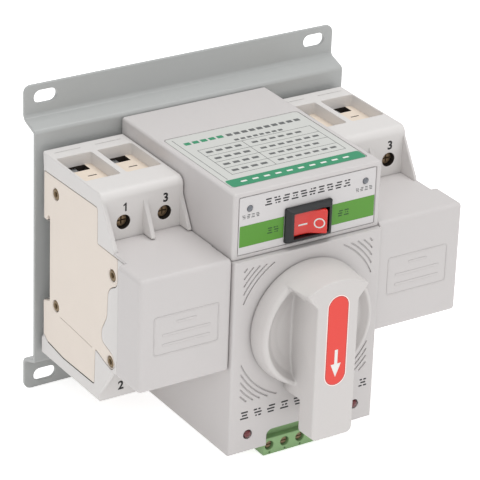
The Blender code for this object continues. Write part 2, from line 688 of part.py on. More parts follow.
# indicator profiles, front to back: (y, radius)
LED_STATIONS = [(-91.7, 0.5), (-91.5, 1.1), (-91.0, LED_R),
                (-84.0, LED_R), (-84.0, 1.9), (-83.0, 1.9)]
LAMP_STATIONS = [(-94.1, 0.6), (-93.9, 1.3), (-93.2, LAMP_R),
                 (-86.0, LAMP_R), (-86.0, 2.3), (-85.0, 2.3)]


def indicators():
    for side, sign in SIDES:
        finish(side + "_led", turned('y', sign * LED_X, LED_Z, LED_STATIONS, 16),
               LED_GREY, smooth=40)
        finish(side + "_lamp", turned('y', sign * LAMP_X, LAMP_Z, LAMP_STATIONS, 16),
               LAMP_RED, smooth=40)


TERMINAL_X = (-15.3, 11.3) # terminal block ends
TERMINAL_WAY = -12.6       # its first way
TERMINAL_PITCH = 6.95
TERMINAL_SCREW_Z = -2.5


def terminal_block():
    outline = [(-91.3, -6.4), (-91.3, 0.7), (-88.6, 0.7), (-88.6, 7.6),
               (-77.4, 7.6), (-77.4, -6.4)]
    screw = [(-90.2, 1.6), (-88.8, 1.6), (-88.8, 1.1), (-84.6, 1.1)]    # (y, radius)
    block = finish("terminal_block", prism(outline, 'x', *TERMINAL_X), GREEN)
    cutters = []
    for i in range(4):
        x = TERMINAL_WAY + i * TERMINAL_PITCH
        cutters += [cylinder('y', x, TERMINAL_SCREW_Z, 1.9, -97, -83.0, 16),
                    box(x - 2.4, x + 2.4, -84.4, -79.6, -10, 1.6)]
        finish("block_screw_%d" % (i + 1), turned('y', x, TERMINAL_SCREW_Z, screw, 14),
               STEEL, smooth=35)
    cut(block, *cutters)


# ---------------------------------------------------------------------- knob
KNOB_R = 25.4
KNOB_RIM_R = 23.1          # crest of the low rim
KNOB_BACK = FRONT_Y - GAP
KNOB_FRONT = -114.07       # front face of the grip bar
BAR_HALF = 9.0             # half width of the grip bar
BAR_FAN_HALF = 12.6        # half width of the bar's widened top
BAR_TOP_R = 24.6
BAR_Z0 = 9.2               # lower end of the grip bar
BAR_NECK_Z = KNOB_Z + 15.2 # where the bar starts to widen
BAR_BACK = -104.8          # back of the bar where it overhangs the disc
HUB_Z0 = 23.3              # lower end of the hub that carries the bar
HUB_FRONT = -106.0
KNOB_LABEL_DZ = 13.7       # the label's round ends from the knob's axis
KNOB_LABEL_R = 4.65

# disc, back to front and into the dish: (y, radius)
KNOB_STATIONS = [
    (KNOB_BACK, KNOB_R), (KNOB_BACK - 2.0, KNOB_R), (-99.4, KNOB_R - 0.9),
    (-101.6, KNOB_R - 1.6), (-102.4, KNOB_RIM_R), (-102.0, KNOB_RIM_R - 0.8),
    (-100.2, 19.5), (-98.9, 14.0), (-98.5, 8.0)]


def bar_outline():
    """Front view of the grip bar: straight sides that fan out to a round top."""
    angle = math.degrees(math.acos(BAR_FAN_HALF / BAR_TOP_R))
    return (arc(0, KNOB_Z, BAR_TOP_R, 16, angle, 180 - angle)
            + fillet_path([(-BAR_HALF, BAR_NECK_Z), (-BAR_HALF, BAR_Z0),
                           (BAR_HALF, BAR_Z0), (BAR_HALF, BAR_NECK_Z)], 2.6, 4))


def knob_label_outline(radius):
    return (arc(0, KNOB_Z + KNOB_LABEL_DZ, radius, 12, 0, 180)
            + arc(0, KNOB_Z - KNOB_LABEL_DZ, radius, 12, 180, 360))


def knob():
    piece = finish("knob", turned('y', 0, KNOB_Z, KNOB_STATIONS, 48), GREY, smooth=35)
    # the hub's sides stand slightly inside the bar's, to keep the faces apart
    hub_half, top_half = BAR_HALF - 0.04, BAR_HALF - 0.06
    top = (arc(0, KNOB_Z, BAR_TOP_R - 0.3, 16, 60, 120)
           + [(-top_half, KNOB_Z + 8.0), (top_half, KNOB_Z + 8.0)])
    add(piece, prism(bar_outline(), 'y', KNOB_FRONT, BAR_BACK),
        box(-hub_half, hub_half, HUB_FRONT, -94.5, HUB_Z0, KNOB_Z + 14.0),
        prism(top, 'y', HUB_FRONT, -95.0))
    cut(piece, prism(knob_label_outline(KNOB_LABEL_R + GAP), 'y',
                     KNOB_FRONT - 2, KNOB_FRONT + LABEL_RECESS),
        cylinder('y', 0, KNOB_Z, SHAFT_R + 0.15, KNOB_BACK + 2, -104.2, 28))
    pivot(piece, 0, KNOB_BACK, KNOB_Z)


def knob_label():
    label = finish("knob_label", prism(knob_label_outline(KNOB_LABEL_R), 'y',
                                       KNOB_FRONT, KNOB_FRONT + LABEL_T), RED_LABEL)
    pivot(label, 0, KNOB_FRONT, KNOB_Z)


# --------------------------------------------------------------------- drive
RACK_Y0, RACK_Y1 = -67.0, -62.0
GEAR_Y0, GEAR_Y1 = -36.0, -30.0
PINION_R = MODULE * PINION_T / 2.0
PITCH = math.pi * MODULE
TOOTH_W = 0.42 * PITCH     # at the pitch line, leaving backlash
# one straight-sided tooth: height over the pitch line, offset along it
TOOTH = [(height * MODULE, across * TOOTH_W) for height, across in
         ((-1.15, -0.675), (0, -0.5), (0.8, -0.25), (0.8, 0.25), (0, 0.5), (-1.15, 0.675))]
RACK_HALF = 16.0           # half height of a rack
RACK_BACK_X = 12.6         # side away from its teeth
RACK_ARM_T = 3.0


def gear(teeth, z, y0, y1):
    """A spur gear on the unit's middle line."""
    pitch_r = MODULE * teeth / 2.0
    outline = []
    for i in range(teeth):
        centre = 2 * math.pi * i / teeth
        for height, across in TOOTH:
            radius = pitch_r + height
            angle = centre + across / radius
            outline.append((radius * math.cos(angle), z + radius * math.sin(angle)))
    return prism(outline, 'y', y0, y1)


def knob_shaft():
    shaft = finish("knob_shaft", cylinder('y', 0, KNOB_Z, SHAFT_R, -103.6, -21.8, 28),
                   STEEL, smooth=35)
    add(shaft, gear(PINION_T, KNOB_Z, RACK_Y0 - 0.5, RACK_Y1 + 0.5))
    pivot(shaft, 0, -60, KNOB_Z)


def drive_gear():
    wheel = finish("drive_gear", gear(GEAR_T, KNOB_Z, GEAR_Y0, GEAR_Y1), WHITE)
    cut(wheel, cylinder('y', 0, KNOB_Z, SHAFT_R + 0.15, GEAR_Y0 - 2, GEAR_Y1 + 2, 28))
    pivot(wheel, 0, GEAR_Y1, KNOB_Z)


def motor():
    stations = [(-60.0, 9.2), (-59.2, 10.0), (-38.0, 10.0)]
    body = finish("motor", turned('y', 0, MOTOR_Z, stations, 28), STEEL, smooth=35)
    add(body, box(-18.5, 18.5, -39.2, MOTOR_PLATE_BACK, 18.6, 32.4))
    cut(body, cylinder('y', 0, MOTOR_Z, 1.3, -46.0, -30.0, 16))


def motor_pinion():
    pinion = finish("motor_pinion", gear(MOTOR_T, MOTOR_Z, GEAR_Y0 + 0.5, GEAR_Y1 + 0.5),
                    BRASS)
    add(pinion, cylinder('y', 0, MOTOR_Z, 1.2, -45.0, -34.0, 16))
    pivot(pinion, 0, GEAR_Y1, MOTOR_Z)


def rack(side, sign):
    """Rack beside the pinion, with a forked arm around the toggle's pin."""
    # toothed edge, read upwards; a gap faces the pinion at its own height
    edge = []
    count = int((RACK_HALF - 2.0) / PITCH)
    for i in range(-count, count):
        centre = KNOB_Z + (i + 0.5) * PITCH
        edge += [(PINION_R - height, centre + across) for height, across in TOOTH]
    root = PINION_R - TOOTH[0][0]
    z0, z1 = KNOB_Z - RACK_HALF, KNOB_Z + RACK_HALF
    outline = [(RACK_BACK_X, z0), (root, z0)] + edge + [(root, z1), (RACK_BACK_X, z1)]
    piece = finish(side + "_rack", prism([(sign * x, z) for x, z in outline], 'y',
                                         RACK_Y0, RACK_Y1), WHITE)
    # the fork's inner faces clear the pin
    upper = TOGGLE_Z + TOGGLE_PIN_R + 0.6
    lower = TOGGLE_Z - TOGGLE_PIN_R - 0.6
    top, bottom = upper + RACK_ARM_T, lower - RACK_ARM_T
    add(piece,
        side_box(sign, 12.0, 29.4, RACK_Y0 + INSET, RACK_Y1 - INSET, bottom, top),
        side_box(sign, 26.2, 29.4 - INSET, -87.8, RACK_Y1 - 1.0,
                 bottom - INSET, top + INSET),
        side_box(sign, 28.0, 42.6, -87.6, -77.3, upper, top),
        side_box(sign, 28.0, 42.6, -87.6, -77.3, bottom, lower))
    pivot(piece, sign * PINION_R, (RACK_Y0 + RACK_Y1) / 2, KNOB_Z)


mounting_plate()
din_rail()
for _side, _sign in SIDES:
    breaker(_side, _sign)
    rack(_side, _sign)
for _build in (centre_base, front_cover, controller_cover, nameplate, control_label,
               control_board, rocker_bezel, rocker, indicators, terminal_block,
               knob, knob_label, knob_shaft, drive_gear, motor, motor_pinion):
    _build()
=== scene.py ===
"""A centre unit with a rotary knob between two circuit breakers, on a mounting plate.

Lengths are in mm unless a name or comment says otherwise.  The front faces -Y, +Z is up
and X = 0 is the middle of the centre unit.  The breakers mirror each other: side is -1
for the left one (-X) and +1 for the right one.
"""
import math

import bmesh
import bpy
from mathutils import Matrix, Vector

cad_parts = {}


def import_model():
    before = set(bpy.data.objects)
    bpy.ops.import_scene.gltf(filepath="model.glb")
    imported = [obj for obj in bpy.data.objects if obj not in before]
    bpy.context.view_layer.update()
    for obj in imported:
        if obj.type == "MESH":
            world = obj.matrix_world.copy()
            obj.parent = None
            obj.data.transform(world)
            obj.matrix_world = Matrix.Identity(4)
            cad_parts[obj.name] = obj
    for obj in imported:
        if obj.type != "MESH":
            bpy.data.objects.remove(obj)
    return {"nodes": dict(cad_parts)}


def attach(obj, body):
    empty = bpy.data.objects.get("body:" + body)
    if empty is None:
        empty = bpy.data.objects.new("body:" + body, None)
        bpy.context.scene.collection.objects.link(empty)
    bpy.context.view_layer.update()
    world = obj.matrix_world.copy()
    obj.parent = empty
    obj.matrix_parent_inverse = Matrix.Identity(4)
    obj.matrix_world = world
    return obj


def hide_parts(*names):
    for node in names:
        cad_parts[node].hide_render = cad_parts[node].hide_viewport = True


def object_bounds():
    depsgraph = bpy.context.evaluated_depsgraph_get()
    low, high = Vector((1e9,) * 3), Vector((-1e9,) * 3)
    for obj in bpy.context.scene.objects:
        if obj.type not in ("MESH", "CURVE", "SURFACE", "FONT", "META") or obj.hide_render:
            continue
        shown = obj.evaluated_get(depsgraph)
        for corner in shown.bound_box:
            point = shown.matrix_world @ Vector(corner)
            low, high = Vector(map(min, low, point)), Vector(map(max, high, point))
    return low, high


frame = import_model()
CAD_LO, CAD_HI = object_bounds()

MM = 0.001
SIDES = (("left", -1), ("right", 1))


# ================================================================== finishes
def linear(rgb, gain=1.0):
    """An sRGB colour (0-255) as linear RGBA, brightened by gain."""
    def channel(value):
        value = value / 255.0
        return value / 12.92 if value <= 0.04045 else ((value + 0.055) / 1.055) ** 2.4
    return tuple(min(1.0, channel(value) * gain) for value in rgb) + (1.0,)


def make_finish(name, rgb, roughness, grain, drift, metallic=0.0, grain_size=0.35,
                roughness_spread=0.10, edge_highlight=0.10, edge_radius=0.35, dust_and_shade=0.25,
                dust_and_shade_reach=3.0, coat=0.0, brushed=None, glow=0.0, translucency=0.0):
    """A moulded, painted or metal surface, all from nodes.

    drift is the colour variation, grain the bump height, wear the lightening of edges,
    which is a painted highlight, dirt the darkening of corners, which is dust and painted
    shade, and brushed the X scale that stretches the grain.
    """
    material = bpy.data.materials.new(name)
    material.use_nodes = True
    material.diffuse_color = linear(rgb)
    nodes, links = material.node_tree.nodes, material.node_tree.links
    shader = nodes["Principled BSDF"]

    def feed(socket, value):
        if isinstance(value, bpy.types.NodeSocket):
            links.new(value, socket)
        else:
            socket.default_value = value

    def scaled(vector, scale):
        node = nodes.new("ShaderNodeMapping")
        node.inputs["Scale"].default_value = scale
        links.new(vector, node.inputs["Vector"])
        return node.outputs["Vector"]

    def noise(size, detail, roughness, vector):
        node = nodes.new("ShaderNodeTexNoise")
        node.inputs["Scale"].default_value = 1.0 / size
        node.inputs["Detail"].default_value = detail
        node.inputs["Roughness"].default_value = roughness
        links.new(vector, node.inputs["Vector"])
        return node.outputs["Fac"]

    def calc(operation, first, second, clamp=False):
        node = nodes.new("ShaderNodeMath")
        node.operation = operation
        node.use_clamp = clamp
        feed(node.inputs[0], first)
        feed(node.inputs[1], second)
        return node.outputs[0]

    def mix(factor, first, second):
        node = nodes.new("ShaderNodeMix")
        node.data_type = 'RGBA'
        # sockets 0, 6 and 7 are the factor and the two colours; output 2 is the colour
        feed(node.inputs[0], factor)
        feed(node.inputs[6], first)
        feed(node.inputs[7], second)
        return node.outputs[2]

    coordinates = nodes.new("ShaderNodeTexCoord").outputs["Object"]
    in_mm = scaled(coordinates, (1000.0, 1000.0, 1000.0))

    # slow colour drift plus a faint speckle
    blotches = noise(size=14.0, detail=3.0, roughness=0.55, vector=in_mm)
    speckle = noise(size=1.1, detail=2.0, roughness=0.5, vector=in_mm)
    variation = calc('ADD', calc('MULTIPLY', blotches, 0.75), calc('MULTIPLY', speckle, 0.25))
    base = mix(variation, linear(rgb, 1.0 - drift), linear(rgb, 1.0 + drift))

    # rounded micro edge, and a painted highlight: a lighter tint along it
    bevel = nodes.new("ShaderNodeBevel")
    bevel.samples = 4
    bevel.inputs["Radius"].default_value = edge_radius * MM
    geometry = nodes.new("ShaderNodeNewGeometry")
    facing = nodes.new("ShaderNodeVectorMath")
    facing.operation = 'DOT_PRODUCT'
    links.new(bevel.outputs["Normal"], facing.inputs[0])
    links.new(geometry.outputs["Normal"], facing.inputs[1])
    highlight_mask = calc('MULTIPLY', calc('SUBTRACT', 1.0, facing.outputs["Value"]), 3.0, clamp=True)
    highlight_mask = calc('MULTIPLY', highlight_mask, calc('ADD', speckle, 0.25), clamp=True)
    # painted highlight: the colour along the edges is lightened
    highlight_tint = tuple(min(1.0, value * (1.0 + edge_highlight) + edge_highlight * 0.10)
                   for value in linear(rgb)[:3]) + (1.0,)
    base = mix(calc('MULTIPLY', highlight_mask, min(1.0, edge_highlight * 5.0)), base, highlight_tint)

    # dust and shade gathered in the corners
    # painted shade: colour is darkened where ambient occlusion finds corners and recesses,
    # along with some dust
    if dust_and_shade:
        occlusion = nodes.new("ShaderNodeAmbientOcclusion")
        occlusion.samples = 4
        occlusion.inputs["Distance"].default_value = dust_and_shade_reach * MM
        shade = calc('MULTIPLY', calc('SUBTRACT', 1.0, occlusion.outputs["AO"]), dust_and_shade,
                     clamp=True)
        base = mix(shade, base, linear(rgb, 0.45))
    links.new(base, shader.inputs["Base Color"])

    smudges = noise(size=3.5, detail=4.0, roughness=0.6, vector=in_mm)
    spread = calc('MULTIPLY', smudges, roughness_spread)
    links.new(calc('ADD', roughness - roughness_spread / 2, spread, clamp=True),
              shader.inputs["Roughness"])

    # fine grain, or the lines of a brushed metal
    grain_vector = scaled(in_mm, (brushed, 1, 1)) if brushed else in_mm
    grain_height = noise(size=grain_size, detail=3.0, roughness=0.6, vector=grain_vector)
    bump = nodes.new("ShaderNodeBump")
    bump.inputs["Strength"].default_value = 1.0
    bump.inputs["Distance"].default_value = grain * MM
    links.new(grain_height, bump.inputs["Height"])
    links.new(bevel.outputs["Normal"], bump.inputs["Normal"])
    links.new(bump.outputs["Normal"], shader.inputs["Normal"])

    shader.inputs["Metallic"].default_value = metallic
    if coat:
        shader.inputs["Coat Weight"].default_value = coat
        shader.inputs["Coat Roughness"].default_value = 0.12
    if translucency:
        shader.inputs["Subsurface Weight"].default_value = translucency
        shader.inputs["Subsurface Scale"].default_value = 0.0012  # metres
    # glow is painted light: the surface gives off its own colour though it is no lamp
    if glow:
        shader.inputs["Emission Color"].default_value = linear(rgb)
        shader.inputs["Emission Strength"].default_value = glow
    return material


METAL = dict(grain=0.01, roughness_spread=0.2)
SHEET = dict(grain=0.006, grain_size=0.8, dust_and_shade=0.1)
INK = dict(roughness=0.5, grain=0.004, dust_and_shade=0.0)
GREEN_PRINT = dict(roughness=0.34, grain=0.004, dust_and_shade=0.05)
LABEL_LINE = dict(roughness=0.40, grain=0.004, dust_and_shade=0.0, edge_highlight=0.0, edge_radius=0.05)

FINISHES = {
    "grey_moulding": dict(rgb=(212, 208, 207), roughness=0.40, grain=0.012, drift=0.022,
                          edge_highlight=0.05),
    "case_moulding": dict(rgb=(226, 223, 221), roughness=0.44, grain=0.016, drift=0.024,
                          edge_highlight=0.05, dust_and_shade=0.12),
    # the knob's strong, wide darkening is painted shade in the finger pockets and at the foot
    # of the grip
    "knob_moulding": dict(rgb=(217, 213, 211), roughness=0.46, grain=0.018, grain_size=0.5,
                          drift=0.022, edge_highlight=0.04, dust_and_shade=0.75, dust_and_shade_reach=12.0),
    "cream_moulding": dict(rgb=(238, 227, 216), roughness=0.50, grain=0.018, drift=0.030,
                           edge_highlight=0.05),
    "pocket_floor": dict(rgb=(238, 224, 208), roughness=0.55, grain=0.03, drift=0.07,
                         dust_and_shade=0.4),
    "plate_paint": dict(rgb=(182, 184, 183), roughness=0.34, grain=0.022, grain_size=1.0,
                        drift=0.020, edge_highlight=0.12, coat=0.15),
    "zinc": dict(METAL, rgb=(188, 191, 194), roughness=0.32, metallic=0.9, drift=0.10,
                 edge_highlight=0.2, brushed=0.08),
    "brass": dict(METAL, rgb=(176, 152, 98), roughness=0.34, metallic=0.9, drift=0.12,
                  edge_highlight=0.3, dust_and_shade=0.6),
    "rivet_brass": dict(METAL, rgb=(134, 114, 84), roughness=0.40, metallic=0.5, drift=0.12,
                        edge_highlight=0.08, edge_radius=0.12, dust_and_shade=0.5),
    "clamp_screw": dict(METAL, rgb=(158, 134, 104), roughness=0.42, metallic=0.45,
                        drift=0.22, edge_radius=0.15, dust_and_shade=0.7),
    # painted shade: a dark brown laid on the walls of the screw holes and clamp wells
    "recess_painted_shade": dict(rgb=(46, 38, 32), roughness=0.75, grain=0.02, drift=0.2, edge_highlight=0.0,
                        dust_and_shade=0.5),
    "copper": dict(METAL, rgb=(196, 118, 78), roughness=0.33, metallic=0.95, drift=0.12,
                   edge_highlight=0.2),
    "steel": dict(METAL, rgb=(158, 158, 158), roughness=0.30, metallic=1.0, grain=0.008,
                  drift=0.08, edge_highlight=0.2, brushed=0.1),
    "black_moulding": dict(rgb=(24, 26, 29), roughness=0.32, grain=0.012, drift=0.06,
                           edge_highlight=0.45),
    "white_gear": dict(rgb=(232, 232, 228), roughness=0.46, grain=0.012, drift=0.02,
                       translucency=0.05),
    "rocker_red": dict(rgb=(226, 42, 32), roughness=0.22, grain=0.004, drift=0.05,
                       edge_highlight=0.12, coat=0.4, translucency=0.08),
    "terminal_green": dict(rgb=(150, 188, 132), roughness=0.42, grain=0.014, drift=0.05,
                           edge_highlight=0.12, dust_and_shade=0.5),
    "label_sheet": dict(SHEET, rgb=(213, 214, 210), roughness=0.34, drift=0.018),
    "white_sheet": dict(SHEET, rgb=(219, 216, 216), roughness=0.32, drift=0.012),
    "green_ink": dict(GREEN_PRINT, rgb=(88, 154, 44), drift=0.03),
    "teal_ink": dict(GREEN_PRINT, rgb=(40, 148, 104), drift=0.05),
    "dark_ink": dict(INK, rgb=(44, 44, 46), drift=0.15),
    "black_ink": dict(INK, rgb=(16, 16, 18), drift=0.10, edge_highlight=0.0),
    "grey_ink": dict(INK, rgb=(104, 106, 106), drift=0.15),
    "white_ink": dict(INK, rgb=(246, 244, 240), roughness=0.45, drift=0.02),
    "red_label": dict(rgb=(240, 62, 50), roughness=0.30, grain=0.005, grain_size=0.8,
                      drift=0.025, dust_and_shade=0.05, coat=0.2),
    # the pale rim of the knob label glows faintly: painted light
    "label_rim": dict(LABEL_LINE, rgb=(255, 234, 228), drift=0.02, glow=0.12),
    "board": dict(rgb=(38, 96, 60), roughness=0.40, grain=0.02, drift=0.10, coat=0.3),
    "dark_green_ink": dict(INK, rgb=(48, 92, 40), drift=0.10),
    "label_line": dict(LABEL_LINE, rgb=(176, 48, 48), drift=0.03),
    "lamp_red": dict(rgb=(104, 14, 24), roughness=0.10, grain=0.002, drift=0.10, coat=0.8,
                     translucency=0.15),
    "led_grey": dict(rgb=(112, 116, 124), roughness=0.16, grain=0.002, drift=0.08, coat=0.7),
}
MATERIALS = {key: make_finish("mat_" + key, **look) for key, look in FINISHES.items()}


# ================================================================== outlines
def arc(u, v, radius, steps, start, end):
    """Points along an arc, both ends included; angles in degrees."""
    angles = [math.radians(start + (end - start) * i / steps) for i in range(steps + 1)]
    return [(u + radius * math.cos(a), v + radius * math.sin(a)) for a in angles]


def circle(u, v, radius, steps):
    return arc(u, v, radius, steps, 0, 360)[:-1]


def round_rect(u0, u1, v0, v1, radius, steps=6):
    outline = []
    for u, v, start in ((u1 - radius, v1 - radius, 0), (u0 + radius, v1 - radius, 90),
                        (u0 + radius, v0 + radius, 180), (u1 - radius, v0 + radius, 270)):
        outline += arc(u, v, radius, steps, start, start + 90)
    return outline


def corners(outline):
    """Each point of a closed outline with its neighbours: (before, here, after)."""
    count = len(outline)
    return [tuple(outline[(i + step) % count] for step in (-1, 0, 1)) for i in range(count)]


def outset(outline, distance):
    """A closed outline moved outwards by distance."""
    area = sum(a[0] * b[1] - b[0] * a[1] for a, b in zip(outline, outline[1:] + outline[:1]))
    turn = 1.0 if area > 0 else -1.0
    moved = []
    for corner in corners(outline):
        before, here, after = map(Vector, corner)
        way_in, way_out = (here - before).normalized(), (after - here).normalized()
        normal_in = Vector((way_in.y, -way_in.x)) * turn
        normal_out = Vector((way_out.y, -way_out.x)) * turn
        # the lower limit keeps sharp corners from shooting out
        mitre = (normal_in + normal_out) / max(1.0 + normal_in.dot(normal_out), 0.35)
        moved.append((here.x + mitre.x * distance, here.y + mitre.y * distance))
    return moved


def fillet(points, radius, steps, closed=False):
    """Rounds the corners of a path; radius is a number or a function of the corner."""
    rounded = [] if closed else [points[0]]
    for corner in corners(points) if closed else zip(points, points[1:], points[2:]):
        before, here, after = map(Vector, corner)
        back, ahead = (before - here).normalized(), (after - here).normalized()
        angle = back.angle(ahead)
        if angle > math.radians(177):
            rounded.append((here.x, here.y))
            continue
        wanted = radius(here.x, here.y) if callable(radius) else radius
        # each fillet may take up just under half of a side
        reach = min(wanted / math.tan(angle / 2), (before - here).length * 0.48,
                    (after - here).length * 0.48)
        fitted = reach * math.tan(angle / 2)
        centre = here + (back + ahead).normalized() * (fitted / math.sin(angle / 2))
        first, last = here + back * reach - centre, here + ahead * reach - centre
        for i in range(steps + 1):
            point = centre + first.lerp(last, i / steps).normalized() * fitted
            rounded.append((point.x, point.y))
    if not closed:
        rounded.append(points[-1])
    return rounded


def thicken(path, thickness):
    """A closed outline from an open path and its parallel on the left."""
    ways = [(Vector(b) - Vector(a)).normalized() for a, b in zip(path, path[1:])]
    parallel = []
    for point, way_in, way_out in zip(path, ways[:1] + ways, ways + ways[-1:]):
        here = Vector(point)
        normal_in = Vector((-way_in.y, way_in.x))
        normal_out = Vector((-way_out.y, way_out.x))
        mitre = (normal_in + normal_out) / (1.0 + normal_in.dot(normal_out))
        parallel.append((here.x + mitre.x * thickness, here.y + mitre.y * thickness))
    return list(path) + parallel[::-1]


# ==================================================================== solids
def place(axis, u, v, along):
    """A point at a distance along axis; u and v are the other two axes in order."""
    if axis == 'x':
        return Vector((along, u, v)) * MM
    if axis == 'y':
        return Vector((u, along, v)) * MM
    return Vector((u, v, along)) * MM


def bridge(bm, ring_a, ring_b):
    """Joins two rings of vertices with a band of faces."""
    count = len(ring_a)
    for i in range(count):
        j = (i + 1) % count
        bm.faces.new((ring_a[i], ring_a[j], ring_b[j], ring_b[i]))


def stack(axis, sections):
    """A closed solid through outlines with equal counts: (place along axis, outline)."""
    bm = bmesh.new()
    rings = [[bm.verts.new(place(axis, u, v, along)) for u, v in outline]
             for along, outline in sections]
    bm.faces.new(rings[0])
    bm.faces.new(rings[-1])
    for ring_a, ring_b in zip(rings, rings[1:]):
        bridge(bm, ring_a, ring_b)
    bmesh.ops.recalc_face_normals(bm, faces=bm.faces[:])
    return bm


def prism(outline, axis, start, end):
    return stack(axis, [(start, outline), (end, outline)])


def box(x0, x1, y0, y1, z0, z1):
    return prism([(x0, y0), (x1, y0), (x1, y1), (x0, y1)], 'z', z0, z1)


def turned(axis, u, v, stations, steps):
    """A solid of revolution from stations (place along axis, radius)."""
    return stack(axis, [(along, circle(u, v, radius, steps)) for along, radius in stations])


def span(side, inner, outer):
    """Distances from the middle as an ordered pair of X on the given side."""
    return tuple(sorted((side * inner, side * outer)))


def side_box(side, inner, outer, y0, y1, z0, z1):
    return box(*span(side, inner, outer), y0, y1, z0, z1)


def side_prism(side, outline, inner, outer):
    return prism(outline, 'x', *span(side, inner, outer))


def flared(axis, outline, bottom, face, beyond=1.0, flare=0.3):
    """A cutter whose mouth opens by flare at face, so that the cut has a lead-in."""
    way = 1.0 if face > bottom else -1.0
    mouth = outset(outline, flare)
    return stack(axis, [(bottom, outline), (face - way * flare, outline), (face, mouth),
                        (face + way * beyond, mouth)])


def join(solids):
    """Several solids in one mesh, without a boolean."""
    joined = bmesh.new()
    for bm in solids:
        mesh = bpy.data.meshes.new("part")
        bm.to_mesh(mesh)
        bm.free()
        joined.from_mesh(mesh)
        bpy.data.meshes.remove(mesh)
    return joined


def temporary(bm):
    bmesh.ops.recalc_face_normals(bm, faces=bm.faces[:])
    mesh = bpy.data.meshes.new("tmp")
    bm.to_mesh(mesh)
    bm.free()
    ob = bpy.data.objects.new("tmp", mesh)
    bpy.context.scene.collection.objects.link(ob)
    return ob


def evaluated(ob):
    """The object's mesh with its modifiers applied."""
    bpy.context.view_layer.update()
    depsgraph = bpy.context.evaluated_depsgraph_get()
    mesh = bpy.data.meshes.new_from_object(ob.evaluated_get(depsgraph))
    bm = bmesh.new()
    bm.from_mesh(mesh)
    bpy.data.meshes.remove(mesh)
    return bm


def discard(ob):
    mesh = ob.data
    bpy.data.objects.remove(ob, do_unlink=True)
    bpy.data.meshes.remove(mesh)


def boolean(bm, operation, tools):
    ob = temporary(bm)
    helpers = [temporary(tool) for tool in tools]
    for helper in helpers:
        modifier = ob.modifiers.new("boolean", 'BOOLEAN')
        modifier.operation = operation
        modifier.solver = 'EXACT'
        modifier.object = helper
    result = evaluated(ob)
    for spent in helpers + [ob]:
        discard(spent)
    return result


def cut(bm, *tools):
    return boolean(bm, 'DIFFERENCE', tools)


def union(bm, *tools):
    return boolean(bm, 'UNION', tools)


def soften(bm, width, steps, angle, pick=None):
    """Rounds the edges sharper than angle that pick(midpoint in mm, direction) accepts."""
    bmesh.ops.remove_doubles(bm, verts=bm.verts[:], dist=1e-6)
    chosen = []
    for edge in bm.edges:
        if len(edge.link_faces) != 2 or edge.calc_face_angle(0.0) < math.radians(angle):
            continue
        start, end = (vert.co for vert in edge.verts)
        if pick is None or pick((start + end) / 2 / MM, (end - start).normalized()):
            chosen.append(edge)
    if chosen:
        bmesh.ops.bevel(bm, geom=chosen, offset=width * MM, offset_type='OFFSET',
                        segments=steps, profile=0.5, affect='EDGES', clamp_overlap=False)
    return bm


def piece(name, bm, finish, body="root", replaces=None, sharp=38, weighted=True,
          painted=()):
    """Turns a solid into a finished object that rides on body.

    painted holds pairs (finish, test(face centre in mm, normal)) for single faces.
    """
    bmesh.ops.recalc_face_normals(bm, faces=bm.faces[:])
    mesh = bpy.data.meshes.new(name)
    mesh.materials.append(MATERIALS[finish])
    if painted:
        bm.normal_update()
        for key, _ in painted:
            mesh.materials.append(MATERIALS[key])
        for face in bm.faces:
            centre = face.calc_center_median() / MM
            face.material_index = next((i for i, (_, test) in enumerate(painted, 1)
                                        if test(centre, face.normal)), 0)
    bm.to_mesh(mesh)
    bm.free()
    ob = bpy.data.objects.new(name, mesh)
    bpy.context.scene.collection.objects.link(ob)
    mesh.shade_smooth()
    mesh.set_sharp_from_angle(angle=math.radians(sharp))
    if weighted:
        modifier = ob.modifiers.new("weighted", 'WEIGHTED_NORMAL')
        modifier.keep_sharp = True
        modifier.weight = 80
    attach(ob, body)
    if replaces:
        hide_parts(replaces)


def printed(name, bm, finish, body="root"):
    piece(name, bm, finish, body=body, weighted=False)


# ============================================================ mounting plate
PLATE_HALF_WIDTH = 70
PLATE_BOTTOM, PLATE_TOP = -6.4, 123.3
PLATE_FRONT, PLATE_REAR = -9.8, -1.5  # the same face, on the raised middle and the ends
# (y, z) up the front of the bent sheet
PLATE_PATH = [(PLATE_REAR, PLATE_BOTTOM), (PLATE_REAR, 6.45), (PLATE_FRONT, 9.2),
              (PLATE_FRONT, 107.95), (PLATE_REAR, 110.7), (PLATE_REAR, PLATE_TOP)]
SLOT_X, SLOT_Z = (-61.0, 61.0), (-1.2, 118.1)
SLOT_RADIUS, SLOT_HALF_TRAVEL = 2.75, 2.25


def plate():
    bm = prism(thicken(fillet(PLATE_PATH, 1.8, 8)[::-1], 1.5), 'x', -PLATE_HALF_WIDTH,
               PLATE_HALF_WIDTH)
    # the four outer corners, then every remaining sharp edge
    soften(bm, 3.0, 8, 60, lambda at, run: abs(run.y) > 0.9
           and abs(abs(at.x) - PLATE_HALF_WIDTH) < 0.01
           and (at.z < PLATE_BOTTOM + 0.01 or at.z > PLATE_TOP - 0.01))
    soften(bm, 0.28, 2, 60)
    slots = []
    for x in SLOT_X:
        for z in SLOT_Z:
            outline = (arc(x + SLOT_HALF_TRAVEL, z, SLOT_RADIUS, 20, -90, 90)
                       + arc(x - SLOT_HALF_TRAVEL, z, SLOT_RADIUS, 20, 90, 270))
            slots.append(prism(outline, 'y', -4, 2))
    piece("plate_body", cut(bm, *slots), "plate_paint", replaces="mounting_plate")


# ================================================================== breakers
CASE_INNER, CASE_OUTER = 33.0, 68.1  # distances from the middle
CASE_FRONT = -57.2
CASE_BOTTOM, CASE_TOP = 14.9, 100.9
CASE_ENDS = ((CASE_TOP, 1), (CASE_BOTTOM, -1))  # z, and the way out of the case
POLE_X = (42.0, 59.6)
